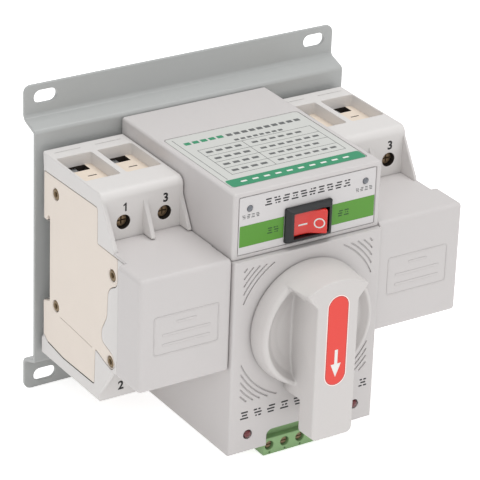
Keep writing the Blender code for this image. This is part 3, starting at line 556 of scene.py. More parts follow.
# side: outer fin thickness, inner fin thickness, x of the middle fin
FIN_SIZES = {-1: (1.85, 1.6, 48.6), 1: (1.2, 1.85, 50.9)}

POCKET_HALF_WIDTH = 7.45
POCKET_FRONT, POCKET_BACK, POCKET_DEPTH = -43.4, -20.9, 4.9
SCREW_SHIFT = 0.9  # towards +X on both breakers
SCREW_Z = (88.0, 27.4)
SCREW_HOLE_RADIUS = 2.9

# (y, z) around the cream cover on the outer side
SIDE_CORNERS = [
    (-53.1, 20.8), (-29.5, 20.4), (-16.7, 21.9), (-13.6, 24.0), (-13.2, 38.6), (-18.1, 40.1),
    (-18.1, 75.9), (-16.2, 75.9), (-16.2, 73.4), (-13.6, 73.8), (-13.6, 93.4), (-54.1, 94.5),
    (-54.3, 80.0), (-69.2, 79.9), (-69.2, 68.8), (-62.6, 65.4), (-62.0, 53.0), (-58.0, 46.0),
    (-58.4, 41.5), (-66.5, 39.2), (-68.6, 35.6), (-66.0, 32.6), (-60.0, 34.0), (-53.6, 36.0)]
RIVETS = [(-22.5, 87.0), (-23.0, 40.0), (-65.5, 71.8), (-64.9, 35.6)]  # (y, z)
RIVET_HOLE_RADIUS = 1.6
# (depth below the side, radius)
RIVET_PROFILE = [(3.2, 1.3), (0.62, 1.3), (0.62, 2.15), (0.35, 2.15), (0.12, 1.9),
                 (0.06, 1.5), (0.16, 1.15), (0.55, 0.95), (1.5, 0.85)]
# (y, radius)
CLAMP_SCREW_PROFILE = [(-55.2, 2.15), (-55.0, 2.5), (-51.4, 2.55), (-51.4, 1.7),
                       (-42.2, 1.7)]

CAP_OUTER, CAP_WALL = 71.7, 2
CAP_FRONT, CAP_BACK = -91.7, -76.0
CAP_BOTTOM, CAP_TOP = 35.2, 81.3
CAP_MARK = ('y', -91.81, -91.5)
# the openings through which the caps and the centre unit face each other
OPENING_FRONT, OPENING_Z = -88.4, (40.6, 76.0)

DIGIT_SIZE = 4.9


def side_radius(y, z):
    """Large radii give the front edge one soft S; the other corners are small."""
    if -63 < y < -57 and 41 < z < 66:
        return 7.0
    if y < -66 and 66 < z < 70:
        return 3.4
    return 2.2 if y < -60 and z < 41 else 0.9


SIDE_OUTLINE = fillet(SIDE_CORNERS, side_radius, 5, closed=True)


def case_outline():
    """(y, z) around the case: up the back, over the top and down the front."""
    top = fillet([(-12.5, CASE_TOP), (CASE_FRONT, CASE_TOP), (CASE_FRONT, 80.0)], 3.3, 12)
    return ([(-11.7, CASE_BOTTOM), (-11.7, 22.0), (-13.0, 22.4), (-13.0, 38.6),
             (-17.9, 40.2), (-17.9, 76.1), (-16.0, 76.1), (-16.0, 73.2), (-13.0, 73.4),
             (-13.0, 95.0)]
            + top + [(-75.7, 80.0), (-75.7, 37.5), (-69.5, 37.5), (-69.5, 32.0),
                     (CASE_FRONT, 32.0), (CASE_FRONT, CASE_BOTTOM)])


def case_fins(side):
    """Upper and lower fins outside, between the poles and beside the centre unit."""
    outer_width, inner_width, middle = FIN_SIZES[side]
    root = CASE_FRONT + 1.0
    fins = []
    # x from, x to, top z, front y, underside z
    for near, far, top, front, low in (
            (CASE_OUTER - outer_width, CASE_OUTER - 0.02, 97.8, -66.4, 80.05),
            (middle, middle + 1.8, 96.4, -63.7, 81.6),
            (CASE_INNER + 0.02, CASE_INNER + inner_width, 94.6, -63.7, 81.6)):
        for outline in ([(root, top + 1.0), (front, 82.2), (front, low), (root, low)],
                        [(root, 16.2), (front, 31.4), (front, 33.0), (root, 33.0)]):
            fins.append(soften(side_prism(side, outline, near, far), 0.3, 3, 40))
    return fins


def pocket_cutters(left, right):
    """Cable pockets at both ends: a flat floor with the clamp well along its back."""
    middle = (left + right) / 2
    mouth = round_rect(left, right, POCKET_FRONT, POCKET_BACK, 0.9, 4)
    opened = outset(mouth, 0.42)
    tools = []
    for end, out in CASE_ENDS:
        floor = end - out * POCKET_DEPTH
        well_bottom = end - out * 17.4
        tools += [
            stack('z', [(floor, mouth), (end - out * 0.45, mouth),
                        (end - out * 0.12, outset(mouth, 0.12)), (end, opened),
                        (end + out, opened)]),
            box(left + 0.3, right - 2.8, -25.6, -20.95, *sorted((floor + out, well_bottom))),
            # a short slit in the floor
            box(middle + 0.7, middle + 4.4, -31.2, -30.6,
                *sorted((floor + out, floor - out * 1.6)))]
    return tools


def rivet_holes(side, depth):
    return [side_prism(side, circle(y, z, RIVET_HOLE_RADIUS, 24), CASE_OUTER - depth,
                       CASE_OUTER + 1) for y, z in RIVETS]


def in_pocket_floor(centre, normal):
    return POCKET_FRONT - 0.3 < centre.y < POCKET_BACK + 0.3 and any(
        abs(centre.z - (end - out * POCKET_DEPTH)) < 0.2 and normal.z * out > 0.5
        for end, out in CASE_ENDS)


def breaker_case(name, side):
    bm = side_prism(side, case_outline(), CASE_INNER, CASE_OUTER)
    soften(bm, 0.5, 3, 50, lambda at, run: abs(at.x) > CASE_OUTER - 0.01
           or abs(at.x) < CASE_INNER + 0.01)
    bm = union(bm, *case_fins(side))
    hollow = [(-27.5, 39.0), (-27.5, 78.4), (-60.0, 78.4), (-60.0, 69.0), (-73.7, 69.0),
              (-73.7, 40.0), (-60.5, 39.0)]
    tools = [
        # seat of the cream cover, hollow, front window and notch at the back
        side_prism(side, outset(SIDE_OUTLINE, 0.3), CASE_OUTER - 1.9, CASE_OUTER + 2),
        side_prism(side, hollow, CASE_INNER + 2.0, CASE_OUTER - 1.0),
        side_box(side, 37.6, 62.6, -80, -72, 47.5, 69.1),
        side_box(side, 40.5, 60.5, -17.0, -9.0, 12.9, 43.0)]
    for pole in POLE_X:
        tools += pocket_cutters(*span(side, pole - POCKET_HALF_WIDTH,
                                      pole + POCKET_HALF_WIDTH))
        for z in SCREW_Z:
            hole = circle(side * pole + SCREW_SHIFT, z, SCREW_HOLE_RADIUS, 40)
            tools.append(flared('y', hole, -41.5, CASE_FRONT, beyond=8.0, flare=0.16))
        # a long shallow line in the top behind the pocket
        tools.append(side_box(side, pole - 5.6, pole + 5.6, -16.35, -15.95,
                              CASE_TOP - 0.25, 102))
    bm = cut(bm, *tools, *rivet_holes(side, 3.6))

    def in_shaded_recess(centre, normal):
        """Inside a screw hole or a clamp well, whose walls get a painted shade."""
        for pole in POLE_X:
            for z in SCREW_Z:
                if (-57.0 < centre.y < -41.3
                        and math.hypot(centre.x - side * pole - SCREW_SHIFT, centre.z - z)
                        < SCREW_HOLE_RADIUS + 0.1):
                    return True
        return (POCKET_FRONT - 0.3 < centre.y < POCKET_BACK
                and (83.0 < centre.z < 95.9 or 19.9 < centre.z < 32.4))

    # the pocket floors get their own beige, and the hole and well walls a painted shade
    piece(name + "_case", bm, "case_moulding", replaces=name + "_breaker_case",
          painted=[("pocket_floor", in_pocket_floor), ("recess_painted_shade", in_shaded_recess)])


def clamp_jaws(name, side):
    """Serrated jaws in the clamp wells."""
    pitch, tooth_height = 0.85, 0.35
    jaws = []
    for pole in POLE_X:
        for z, out in ((95.0, 1), (20.8, -1)):
            x = side * pole - 6.9
            outline = [(x, z - out * 2.2)]
            for i in range(9):
                outline += [(x + i * pitch, z), (x + 0.42 + i * pitch, z + out * tooth_height)]
            outline += [(x + 9 * pitch, z), (x + 9 * pitch, z - out * 2.2)]
            jaws.append(prism(outline, 'y', -25.4, -21.2))
    piece(name + "_clamp_jaws", join(jaws), "zinc", weighted=False, sharp=20)


def cream_cover(name, side):
    bm = side_prism(side, SIDE_OUTLINE, CASE_OUTER - 1.6, CASE_OUTER)
    soften(bm, 0.3, 2, 50, lambda at, run: abs(at.x) > CASE_OUTER - 0.01)
    tools = []
    for (y, z), hole in zip(RIVETS, rivet_holes(side, 3)):
        tools += [flared('x', circle(y, z, 2.4, 32), side * (CASE_OUTER - 0.9),
                         side * CASE_OUTER), hole]
    # a shallow slanting line
    tools.append(side_prism(side, [(-27.0, 37.0), (-27.0, 36.75), (-51.5, 35.35),
                                   (-51.5, 35.6)], CASE_OUTER - 0.15, CASE_OUTER + 1))
    piece(name + "_cream_cover", cut(bm, *tools), "cream_moulding",
          replaces=name + "_side_cover")


def rivet_heads(name, side):
    stations = [(side * (CASE_OUTER - depth), radius) for depth, radius in RIVET_PROFILE]
    for number, (y, z) in enumerate(RIVETS, 1):
        piece(f"{name}_rivet_head_{number}", turned('x', y, z, stations, 32), "rivet_brass",
              replaces=f"{name}_rivet_{number}", weighted=False)


def clamp_screws(name, side):
    """Screw heads with a cross: one long slot and one short."""
    places = [(side * pole + SCREW_SHIFT, z) for z in SCREW_Z for pole in POLE_X]
    for number, (x, z) in enumerate(places, 1):
        bm = cut(turned('y', x, z, CLAMP_SCREW_PROFILE, 36),
                 box(x - 2.1, x + 2.1, -57, -54.0, z - 0.32, z + 0.32),
                 box(x - 0.32, x + 0.32, -57, -54.1, z - 1.6, z + 1.6))
        piece(f"{name}_clamp_screw_{number}", bm, "clamp_screw",
              replaces=f"{name}_terminal_screw_{number}", weighted=False)


def toggle_cover(name, side):
    bm = side_box(side, CASE_INNER, CAP_OUTER, CAP_FRONT, CAP_BACK, CAP_BOTTOM, CAP_TOP)
    inner, outer = side * CASE_INNER, side * CAP_OUTER
    soften(bm, 1.8, 8, 60, lambda at, run: (at.y < CAP_FRONT + 0.01 and abs(run.y) < 0.1
                                            and abs(at.x - inner) > 0.01)
           or (abs(run.y) > 0.9 and abs(at.x - outer) < 0.01))
    soften(bm, 0.5, 3, 60, lambda at, run: abs(at.x - inner) < 0.01)
    # ledges that reach back over and under the case; the upper one clears the outer fin
    beside_fin = CASE_OUTER - (FIN_SIZES[side][0] + 0.1)
    bm = union(bm, side_box(side, CASE_INNER + 0.02, beside_fin, -78.0, CASE_FRONT - 0.3,
                            CAP_TOP - 1, CAP_TOP - 0.02),
               side_box(side, CASE_INNER + 0.04, CASE_OUTER - 0.02, -78.2, -66.5,
                        CAP_TOP - 0.98, CAP_TOP - 0.03),
               side_box(side, CASE_INNER + 0.02, CASE_OUTER, -78.0, -70.0,
                        CAP_BOTTOM + 0.02, CAP_BOTTOM + CAP_WALL))
    # the inside, the open back and the opening towards the centre unit
    wall_x = CAP_OUTER - CAP_WALL
    floor = CAP_BOTTOM + CAP_WALL
    bm = cut(bm, side_box(side, CASE_INNER + 2, wall_x, CAP_FRONT + CAP_WALL, -60.0, floor,
                          CAP_TOP - CAP_WALL),
             side_box(side, CASE_INNER - 1, wall_x, CAP_BACK, -50.0, floor, CAP_TOP - 1),
             side_box(side, CASE_INNER - 1, CASE_INNER + 4, OPENING_FRONT, -74.0, *OPENING_Z))
    # plain raised frame with three plain bars
    left, right = span(side, 37.8, 65.6)
    middle = (left + right) / 2
    ring = cut(prism(round_rect(left, right, 49.4, 65.4, 1.2), *CAP_MARK),
               prism(round_rect(left + 0.4, right - 0.4, 49.8, 65.0, 0.9), 'y', -93, -90))
    bars = [prism(round_rect(middle - half, middle + half, z - 0.45, z + 0.45, 0.4), *CAP_MARK)
            for half, z in ((4.2, 61.8), (10.2, 57.4), (10.2, 53.4))]
    piece(name + "_cap", union(bm, join([ring] + bars)), "grey_moulding",
          replaces=name + "_toggle_cover")


def digit(name, text, x, z):
    """A digit printed on the front of the case, centred on x, z."""
    y, half_depth = CASE_FRONT - 0.02, 0.02
    if text == "1":
        # an upright stroke with a short flag
        half = DIGIT_SIZE * 0.35
        bm = prism([(x - 0.12, z - half), (x + 0.5, z - half), (x + 0.5, z + half),
                    (x + 0.05, z + half), (x - 0.85, z + half - 0.75),
                    (x - 0.85, z + half - 1.3), (x - 0.12, z + half - 0.95)],
                   'y', y - half_depth, y + half_depth)
    else:
        curve = bpy.data.curves.new(name, 'FONT')
        curve.body = text
        curve.size = DIGIT_SIZE * MM
        curve.align_x = 'CENTER'
        curve.align_y = 'CENTER'
        curve.extrude = half_depth * MM
        curve.offset = 0.15 * MM
        curve.resolution_u = 6
        ob = bpy.data.objects.new("tmp", curve)
        bpy.context.scene.collection.objects.link(ob)
        bm = evaluated(ob)
        bpy.data.objects.remove(ob, do_unlink=True)
        bmesh.ops.remove_doubles(bm, verts=bm.verts[:], dist=1e-7)
        bm.transform(Matrix.Translation(Vector((x, y, z)) * MM)
                     @ Matrix.Rotation(math.radians(90), 4, 'X'))
    piece(name, bm, "black_ink", weighted=False, sharp=30)


def breaker(name, side):
    breaker_case(name, side)
    clamp_jaws(name, side)
    cream_cover(name, side)
    rivet_heads(name, side)
    clamp_screws(name, side)
    toggle_cover(name, side)
    # (top, bottom) digits run from left to right; the outer pole comes first
    pairs = (("1", "2"), ("3", "4"))[::-side]
    for pole, (top, bottom) in zip(POLE_X[::-1], pairs):
        shift = 1.6 if top == "1" else 1.25
        digit(f"{name}_digit_{top}", top, side * pole + shift, 93.95)
        digit(f"{name}_digit_{bottom}", bottom, side * pole + SCREW_SHIFT, 19.4)


# =============================================================== centre unit
UNIT_HALF_WIDTH, UNIT_WALL = 32.65, 2
UNIT_BACK = -10.1
LOWER_FRONT, UPPER_FRONT = -93.6, -91.2
UNIT_BOTTOM, SEAM_Z, UNIT_TOP = -0.8, 80.2, 107.0
KNOB_Z = 50.0
SWITCH_Z = 89.75
LED_X, LED_Z = 25.5, 100.2
LAMP_X, LAMP_Z = 24.3, 6.75
# (y, radius)
LED_PROFILE = [(-91.75, 0.12), (-91.7, 0.5), (-91.55, 0.85), (-91.35, 1.08), (-91.1, 1.2),
               (-84.0, 1.2), (-84.0, 1.9), (-83.0, 1.9)]
LAMP_PROFILE = [(-94.1, 0.15), (-94.05, 0.6), (-93.9, 1.05), (-93.6, 1.4), (-93.2, 1.6),
                (-86.0, 1.6), (-86.0, 2.3), (-85.0, 2.3)]


def bar(u0, u1, v0, v1, axis, start, end, radius=0.18):
    radius = min(radius, (u1 - u0) / 2.2, (v1 - v0) / 2.2)
    return prism(round_rect(u0, u1, v0, v1, radius, 3), axis, start, end)


def bar_row(count, start, pitch, width, y0, y1, z_range):
    """A row of flat bars on the top label."""
    return [bar(start + i * pitch, start + width + i * pitch, y0, y1, 'z', *z_range)
            for i in range(count)]


def block_mark(x, z, width, height, pattern, y_range):
    """Three short bars one above the other, stepped by pattern: stands for a sign."""
    bars = []
    thick = height * 0.20
    for i in range(3):
        left = x + (0.0, 0.22, 0.10)[(pattern + i) % 3] * width
        right = x + (1.0, 0.86, 0.94)[(2 * pattern + i) % 3] * width
        low = z + i * (height - thick) / 2
        spans = [(left, right)]
        if (pattern + 2 * i) % 4 == 1:
            spans = [(left, x + width * 0.42), (x + width * 0.58, right)]
        bars += [bar(u0, u1, low, low + thick, 'y', *y_range) for u0, u1 in spans]
    return bars


def groove_cutters():
    """Arcs about the knob, clipped to a near square, in four corner groups."""
    half_width, reach_up, reach_down, half_groove = 28.5, 27.2, 28.8, 0.28
    grooves = []
    for radius in (31.2, 33.0, 34.8, 36.6, 38.5):
        for way_x in (-1, 1):
            for way_z, reach in ((1, reach_up), (-1, reach_down)):
                start = math.degrees(math.acos(min(1.0, half_width / radius)))
                end = math.degrees(math.asin(min(1.0, reach / radius)))
                if end - start < 1.5:
                    continue
                steps = max(6, int((end - start) / 2))
                outline = (arc(0, 0, radius + half_groove, steps, start, end)
                           + arc(0, 0, radius - half_groove, steps, end, start))
                grooves.append(prism([(way_x * u, KNOB_Z + way_z * v) for u, v in outline],
                                     'y', LOWER_FRONT - 1.0, LOWER_FRONT + 0.45))
    return join(grooves)


def front_cover():
    half = UNIT_HALF_WIDTH
    bm = box(-half, half, LOWER_FRONT, UNIT_BACK, UNIT_BOTTOM, SEAM_Z)
    soften(bm, 1.0, 6, 60, lambda at, run: abs(run.z) > 0.9
           or (at.z < UNIT_BOTTOM + 0.01 and at.y < LOWER_FRONT + 0.01))
    soften(bm, 0.5, 3, 60, lambda at, run: at.z > SEAM_Z - 0.01)
    notch = fillet([(-15.6, -3.8), (-15.6, 6.1), (15.6, 6.1), (15.6, -3.8)], 2.5, 8)
    tools = [
        box(-half + UNIT_WALL, half - UNIT_WALL, LOWER_FRONT + UNIT_WALL, 0,
            UNIT_BOTTOM + UNIT_WALL, SEAM_Z - UNIT_WALL),
        # shaft hole, and the notch for the terminal block with its floor
        prism(circle(0, KNOB_Z, 7.0, 48), 'y', -97, -88),
        flared('y', notch, -88, LOWER_FRONT, beyond=4.0),
        box(-15.6, 15.6, -90, -77, -3.8, 2.2),
        # recesses at the back of the top and of the sides
        box(-half + 2, half - 2, -13.4, 0, SEAM_Z - 4, SEAM_Z + 2),
        box(-half - 2, half + 2, -17.7, 0, 40.3, 76.3)]
    for _, side in SIDES:
        lamp_hole = circle(side * LAMP_X, LAMP_Z, 1.95, 32)
        tools += [flared('y', lamp_hole, -88, LOWER_FRONT, beyond=3.0, flare=0.1),
                  side_box(side, half - 3, half + 1, OPENING_FRONT, -75.6, *OPENING_Z)]
    bm = cut(cut(bm, *tools), groove_cutters())
    piece("front_shell", bm, "grey_moulding", replaces="front_cover")
    # a plain row of block marks where the face is printed
    marks = []
    for i in range(10):
        marks += block_mark(-28.0 + 6.0 * i, 13.8, 3.6, 3.2, i,
                            (LOWER_FRONT - 0.03, LOWER_FRONT + 0.2))
    printed("front_print", join(marks), "dark_ink")


def controller_cover():
    half = UNIT_HALF_WIDTH
    bottom = SEAM_Z + 0.3
    bm = box(-half, half, UPPER_FRONT, UNIT_BACK, bottom, UNIT_TOP)
    soften(bm, 1.1, 6, 60, lambda at, run: abs(run.z) > 0.9 or at.z > UNIT_TOP - 0.01)
    label_seat = round_rect(-30.4, 30.4, 81.8, 105.3, 0.6)
    tools = [
        box(-half + UNIT_WALL, half - UNIT_WALL, UPPER_FRONT + UNIT_WALL, 0, bottom - 2,
            UNIT_TOP - UNIT_WALL),
        flared('y', label_seat, UPPER_FRONT + 0.5, UPPER_FRONT, beyond=2.0, flare=0.15),
        prism(round_rect(-30.2, 30.2, -85.6, -36.8, 1.6), 'z', UNIT_TOP - 0.5, UNIT_TOP + 2),
        # switch opening
        box(-9.6, 9.6, -97, -87, SWITCH_Z - 6.6, SWITCH_Z + 6.6)]
    for _, side in SIDES:
        tools.append(prism(circle(side * LED_X, LED_Z, 1.65, 28), 'y', -97, -87))
    piece("controller_shell", cut(bm, *tools), "grey_moulding", replaces="controller_cover")


def front_label():
    face = UPPER_FRONT + 0.12
    bm = prism(round_rect(-30.1, 30.1, 82.1, 105.0, 0.5), 'y', face, UPPER_FRONT + 0.42)
    bm = cut(bm, box(-9.9, 9.9, -97, -87, SWITCH_Z - 6.9, SWITCH_Z + 6.9),
             *[prism(circle(side * LED_X, LED_Z, 1.32, 28), 'y', -97, -87)
               for _, side in SIDES])
    piece("front_label", bm, "white_sheet", replaces="control_label")
    ink = (face - 0.03, face + 0.1)
    ink_on_strip = (face - 0.05, face + 0.05)
    printed("front_label_strip",
            join([bar(left, right, 85.1, 93.6, 'y', *ink, radius=0.1)
                  for left, right in ((-29.7, -10.45), (10.45, 29.95))]), "green_ink")
    title = []
    for i in range(10):
        title += block_mark(-19.0 + i * 3.85, 99.8, 3.0, 2.7, i, ink)
    captions = []
    for _, side in SIDES:
        for i in range(4):
            captions += block_mark(side * 25.0 - 3.8 + i * 2.0, 96.4, 1.5, 1.5, i + 1, ink)
    printed("front_label_print", join(title), "dark_ink")
    printed("front_label_captions", join(captions), "grey_ink")
    strip_marks = []
    for i, x in enumerate((-17.6, -14.9, 13.6, 16.4)):
        strip_marks += block_mark(x, 88.1, 2.2, 2.4, i, ink_on_strip)
    printed("front_strip_print", join(strip_marks), "dark_green_ink")


def top_label():
    face = UNIT_TOP - 0.06
    bm = prism(round_rect(-29.9, 29.9, -85.3, -37.1, 1.4), 'z', UNIT_TOP - 0.42, face)
    piece("top_label", bm, "label_sheet", replaces="nameplate")
    ink = (face - 0.1, face + 0.03)
    ink_on_band = (face, face + 0.05)
    printed("top_label_band", prism(round_rect(-29.3, 29.7, -85.2, -79.0, 1.2), 'z', *ink),
            "teal_ink")
    printed("top_band_print", join(bar_row(10, -24, 5.0, 2.6, -82.6, -81.5, ink_on_band)),
            "white_ink")
    # ruled table: five rows, three uprights
    lines = [bar(-23.5, 26.8, y - 0.1, y + 0.1, 'z', *ink, radius=0.02)
             for y in (-51.0, -57.2, -63.2, -69.2, -75.3)]
    lines += [bar(x - 0.1, x + 0.1, -75.4, -50.9, 'z', *ink, radius=0.02)
              for x in (-23.5, -4.1, 26.8)]
    printed("top_label_lines", union(*lines), "grey_ink")
    printed("top_label_edge", bar(-27.5, -27.3, -78.2, -38.9, 'z', *ink, radius=0.02),
            "grey_ink")
    text = bar_row(10, -6.4, 3.4, 2.4, -45.0, -43.0, ink)
    text += bar_row(8, -6.0, 2.8, 1.9, -49.8, -48.4, ink)
    for i, y in enumerate((-54.1, -60.2, -66.2, -72.2)):
        text += bar_row(4, -21.6, 4.2, 2.8, y - 0.8, y + 0.8, ink)
        text += bar_row(6 + i % 2, -1.4, 3.9, 2.6, y - 0.7, y + 0.7, ink)
    printed("top_label_print", join(text), "grey_ink")
    printed("top_title_print", join(bar_row(5, -25, 3.6, 2.6, -45.1, -42.9, ink)), "teal_ink")


# ============================================================= rocker switch
ROCKER_HALF_WIDTH, ROCKER_HALF_HEIGHT = 6.9, 4.8
ROCKER_TILT = math.radians(-14.0)
ROCKER_PIVOT_Y = -90.5
ROCKER_DIP = 2.2       # height of the hollow's lowest point above the pivot
ROCKER_SOFTNESS = 0.05  # rounds the hollow where the two faces meet
ROCKER_RISE = ROCKER_DIP + ROCKER_HALF_WIDTH * math.tan(-ROCKER_TILT)
# (y, half width, half height, corner radius)
BEZEL_SECTIONS = [(UPPER_FRONT - 0.1, 10.35, 7.05, 0.7), (-91.95, 10.35, 7.05, 0.7),
                  (-92.15, 10.25, 6.98, 0.66), (-94.0, 8.86, 6.10, 0.45),
                  (-94.2, 8.6, 5.92, 0.36)]


def rocker_face(x):
    """Height (local y) of the hollow face at x, before the tilt."""
    softness = ROCKER_SOFTNESS
    rise = (math.sqrt((x / ROCKER_HALF_WIDTH) ** 2 + softness) - math.sqrt(softness)) / (
        math.sqrt(1.0 + softness) - math.sqrt(softness))
    return -(ROCKER_DIP + (ROCKER_RISE - ROCKER_DIP) * rise)


def tilted(x, y):
    cos, sin = math.cos(ROCKER_TILT), math.sin(ROCKER_TILT)
    return x * cos - y * sin, ROCKER_PIVOT_Y + x * sin + y * cos


def wrapped(bm):
    """Lays a flat drawing (x, z) on the tilted hollow face, slightly raised."""
    for vert in bm.verts:
        x, y, z = vert.co / MM
        vert.co = Vector((*tilted(x, rocker_face(x) + y - 0.05), z)) * MM
    return bm


def bezel():
    def frame_outline(half_width, half_height, radius):
        return round_rect(-half_width, half_width, SWITCH_Z - half_height,
                          SWITCH_Z + half_height, radius)
    bm = stack('y', [(y, frame_outline(*sizes)) for y, *sizes in BEZEL_SECTIONS])
    bm = union(bm, box(-9.3, 9.3, -92.0, -79.5, SWITCH_Z - 6.3, SWITCH_Z + 6.3))
    bm = cut(bm, flared('y', frame_outline(7.75, 5.1, 0.35), -85.5, -94.2, beyond=2.0,
                        flare=0.15))
    piece("bezel", bm, "black_moulding", replaces="rocker_bezel")


def rocker():
    half = ROCKER_HALF_WIDTH
    section = [(x, rocker_face(x)) for x in [-half + 2 * half * i / 24 for i in range(25)]]
    section += [(half, -0.6), (4.6, 3.4), (-4.6, 3.4), (-half, -0.6)]
    bm = prism([tilted(x, y) for x, y in section], 'z', SWITCH_Z - ROCKER_HALF_HEIGHT,
               SWITCH_Z + ROCKER_HALF_HEIGHT)
    soften(bm, 0.45, 4, 40)
    piece("rocker_cap", bm, "rocker_red", body="rocker", replaces="rocker")


def rocker_marks():
    """A dash on the left half and a ring on the right half."""
    z, thick = SWITCH_Z - 0.55, 0.12
    dash_x = [-4.3 + 3.9 * i / 10 for i in range(11)]
    dash = prism([(x, z - 0.3) for x in dash_x] + [(x, z + 0.3) for x in dash_x[::-1]],
                 'y', 0.0, thick)
    outer, inner = circle(4.0, z, 2.05, 48), circle(4.0, z, 1.55, 48)
    ring = bmesh.new()
    loops = [[ring.verts.new(place('y', u, v, y)) for u, v in outline]
             for outline, y in ((outer, 0.0), (outer, thick), (inner, thick), (inner, 0.0))]
    for loop_a, loop_b in zip(loops, loops[1:] + loops[:1]):
        bridge(ring, loop_a, loop_b)
    printed("rocker_marks", join([wrapped(dash), wrapped(ring)]), "white_ink", body="rocker")


def indicators():
    for name, side in SIDES:
        piece(name + "_led_dome", turned('y', side * LED_X, LED_Z, LED_PROFILE, 32),
              "led_grey", replaces=name + "_led", weighted=False)
        piece(name + "_lamp_dome", turned('y', side * LAMP_X, LAMP_Z, LAMP_PROFILE, 32),
              "lamp_red", replaces=name + "_lamp", weighted=False)


# ============================================================ terminal block
BLOCK_FRONT, BLOCK_SCREW_Z = -91.3, -2.5
BLOCK_SCREW_X = [-12.6 + 6.95 * i for i in range(4)]


def terminal_block():
    outline = [(BLOCK_FRONT, -6.4), (BLOCK_FRONT, 0.7), (-88.6, 0.7), (-88.6, 7.6),
               (-77.4, 7.6), (-77.4, -6.4)]
    bm = soften(prism(outline, 'x', -15.3, 11.3), 0.25, 2, 50)
    tools = []
    for x in BLOCK_SCREW_X:
        # screw hole, shaft open below it, and a small round groove under the screw
        tools += [flared('y', circle(x, BLOCK_SCREW_Z, 1.9, 28), -83.0, BLOCK_FRONT,
                         beyond=3.0, flare=0.2),
                  box(x - 2.4, x + 2.4, -84.4, -79.6, -10, 1.6),
                  prism(circle(x + 0.1, -5.5, 0.42, 16), 'y', -97, -90.4)]
    piece("plug_block", cut(bm, *tools), "terminal_green", replaces="terminal_block")
    stations = [(-90.2, 1.3), (-90.0, 1.55), (-88.8, 1.6), (-88.8, 1.1), (-84.6, 1.1)]
    for number, x in enumerate(BLOCK_SCREW_X, 1):
        bm = cut(turned('y', x, BLOCK_SCREW_Z, stations, 28),
                 box(x - 2, x + 2, -92, -89.7, BLOCK_SCREW_Z - 0.25, BLOCK_SCREW_Z + 0.25))
        piece(f"block_screw_head_{number}", bm, "clamp_screw",
              replaces=f"block_screw_{number}", weighted=False)


# ====================================================================== knob
# (y, radius) of the dished disc
KNOB_DISC = [(-93.95, 25.3), (-95.2, 25.35), (-98.8, 24.9), (-101.0, 24.4), (-102.0, 23.8),
             (-102.4, 23.1), (-102.35, 22.5), (-101.6, 21.9), (-99.9, 20.2), (-98.8, 16.5),
             (-98.5, 12.0), (-98.4, 6.0)]
# (y, half width, half width of the fan, fan radius, z of the tip, fan foot above centre)
GRIP_SECTIONS = [(-104.8, 9.3, 14.4, 24.9, 9.0, 15.9), (-109.0, 9.15, 14.0, 24.8, 9.0, 15.6),
                 (-113.95, 9.0, 13.4, 24.7, 9.1, 15.2)]
# (y, half width)
STEM_SECTIONS = [(-94.6, 9.5), (-98.5, 9.8), (-105.5, 9.2)]


def grip_outline(half_width, fan_half_width, fan_radius, tip, foot):
    """A fan at the top that narrows to a straight handle with a rounded tip."""
    start = math.degrees(math.acos(fan_half_width / fan_radius))
    foot_z = KNOB_Z + foot
    handle = [(-half_width, foot_z), (-half_width, tip), (half_width, tip),
              (half_width, foot_z)]
    return arc(0, KNOB_Z, fan_radius, 28, start, 180 - start) + fillet(handle, 2.4, 8)


def knob_body():
    disc = turned('y', 0, KNOB_Z, KNOB_DISC, 144)
    grip = stack('y', [(y, grip_outline(*sizes)) for y, *sizes in GRIP_SECTIONS])
    low, high = 23.3, KNOB_Z + 15.0
    stem = stack('y', [(y, [(-half, low), (half, low), (half, high), (-half, high)])
                       for y, half in STEM_SECTIONS])
    top = stack('y', [(-95.0, arc(0, KNOB_Z, 24.9, 24, 54.3, 125.7)
                       + [(-9.4, KNOB_Z + 14.6), (9.4, KNOB_Z + 14.6)]),
                      (-105.5, arc(0, KNOB_Z, 24.85, 24, 54.6, 125.4)
                       + [(-9.2, KNOB_Z + 14.8), (9.2, KNOB_Z + 14.8)])])
    # remeshing and smoothing melt the four solids into one moulding
    ob = temporary(join([disc, grip, stem, top]))
    remesh = ob.modifiers.new("remesh", 'REMESH')
    remesh.mode = 'VOXEL'
    remesh.voxel_size = 0.30 * MM
    remesh.adaptivity = 0.0
    smooth = ob.modifiers.new("smooth", 'SMOOTH')
    smooth.factor = 0.5
    smooth.iterations = 8
    bm = evaluated(ob)
    discard(ob)
    # keep the moulding inside the CAD box and give the shaft its bore
    for vert in bm.verts:
        vert.co.y = max(vert.co.y, -113.97 * MM)
    bm = cut(bm, prism(circle(0, KNOB_Z, 4.15, 40), 'y', -91.0, -104.2))
    piece("knob_body", bm, "knob_moulding", body="knob", replaces="knob",
          weighted=False, sharp=60)


def knob_label():
    def pill(radius, front, back):
        half = 14.0
        return prism(arc(0, KNOB_Z + half, radius, 24, 0, 180)
                     + arc(0, KNOB_Z - half, radius, 24, 180, 360), 'y', front, back)
    printed("knob_label_rim", pill(4.88, -114.00, -113.80), "label_rim", body="knob")
    printed("knob_label_line", pill(4.50, -114.02, -113.82), "label_line", body="knob")
    piece("knob_label_red", pill(4.28, -114.04, -113.85), "red_label", body="knob",
          replaces="knob_label", weighted=False)
    arrow = [(-0.7, 46.3), (-0.7, 40.4), (-2.3, 40.4), (0, 34.9), (2.3, 40.4), (0.7, 40.4),
             (0.7, 46.3)]
    printed("knob_arrow", prism(arrow, 'y', -114.065, -113.90), "white_ink", body="knob")


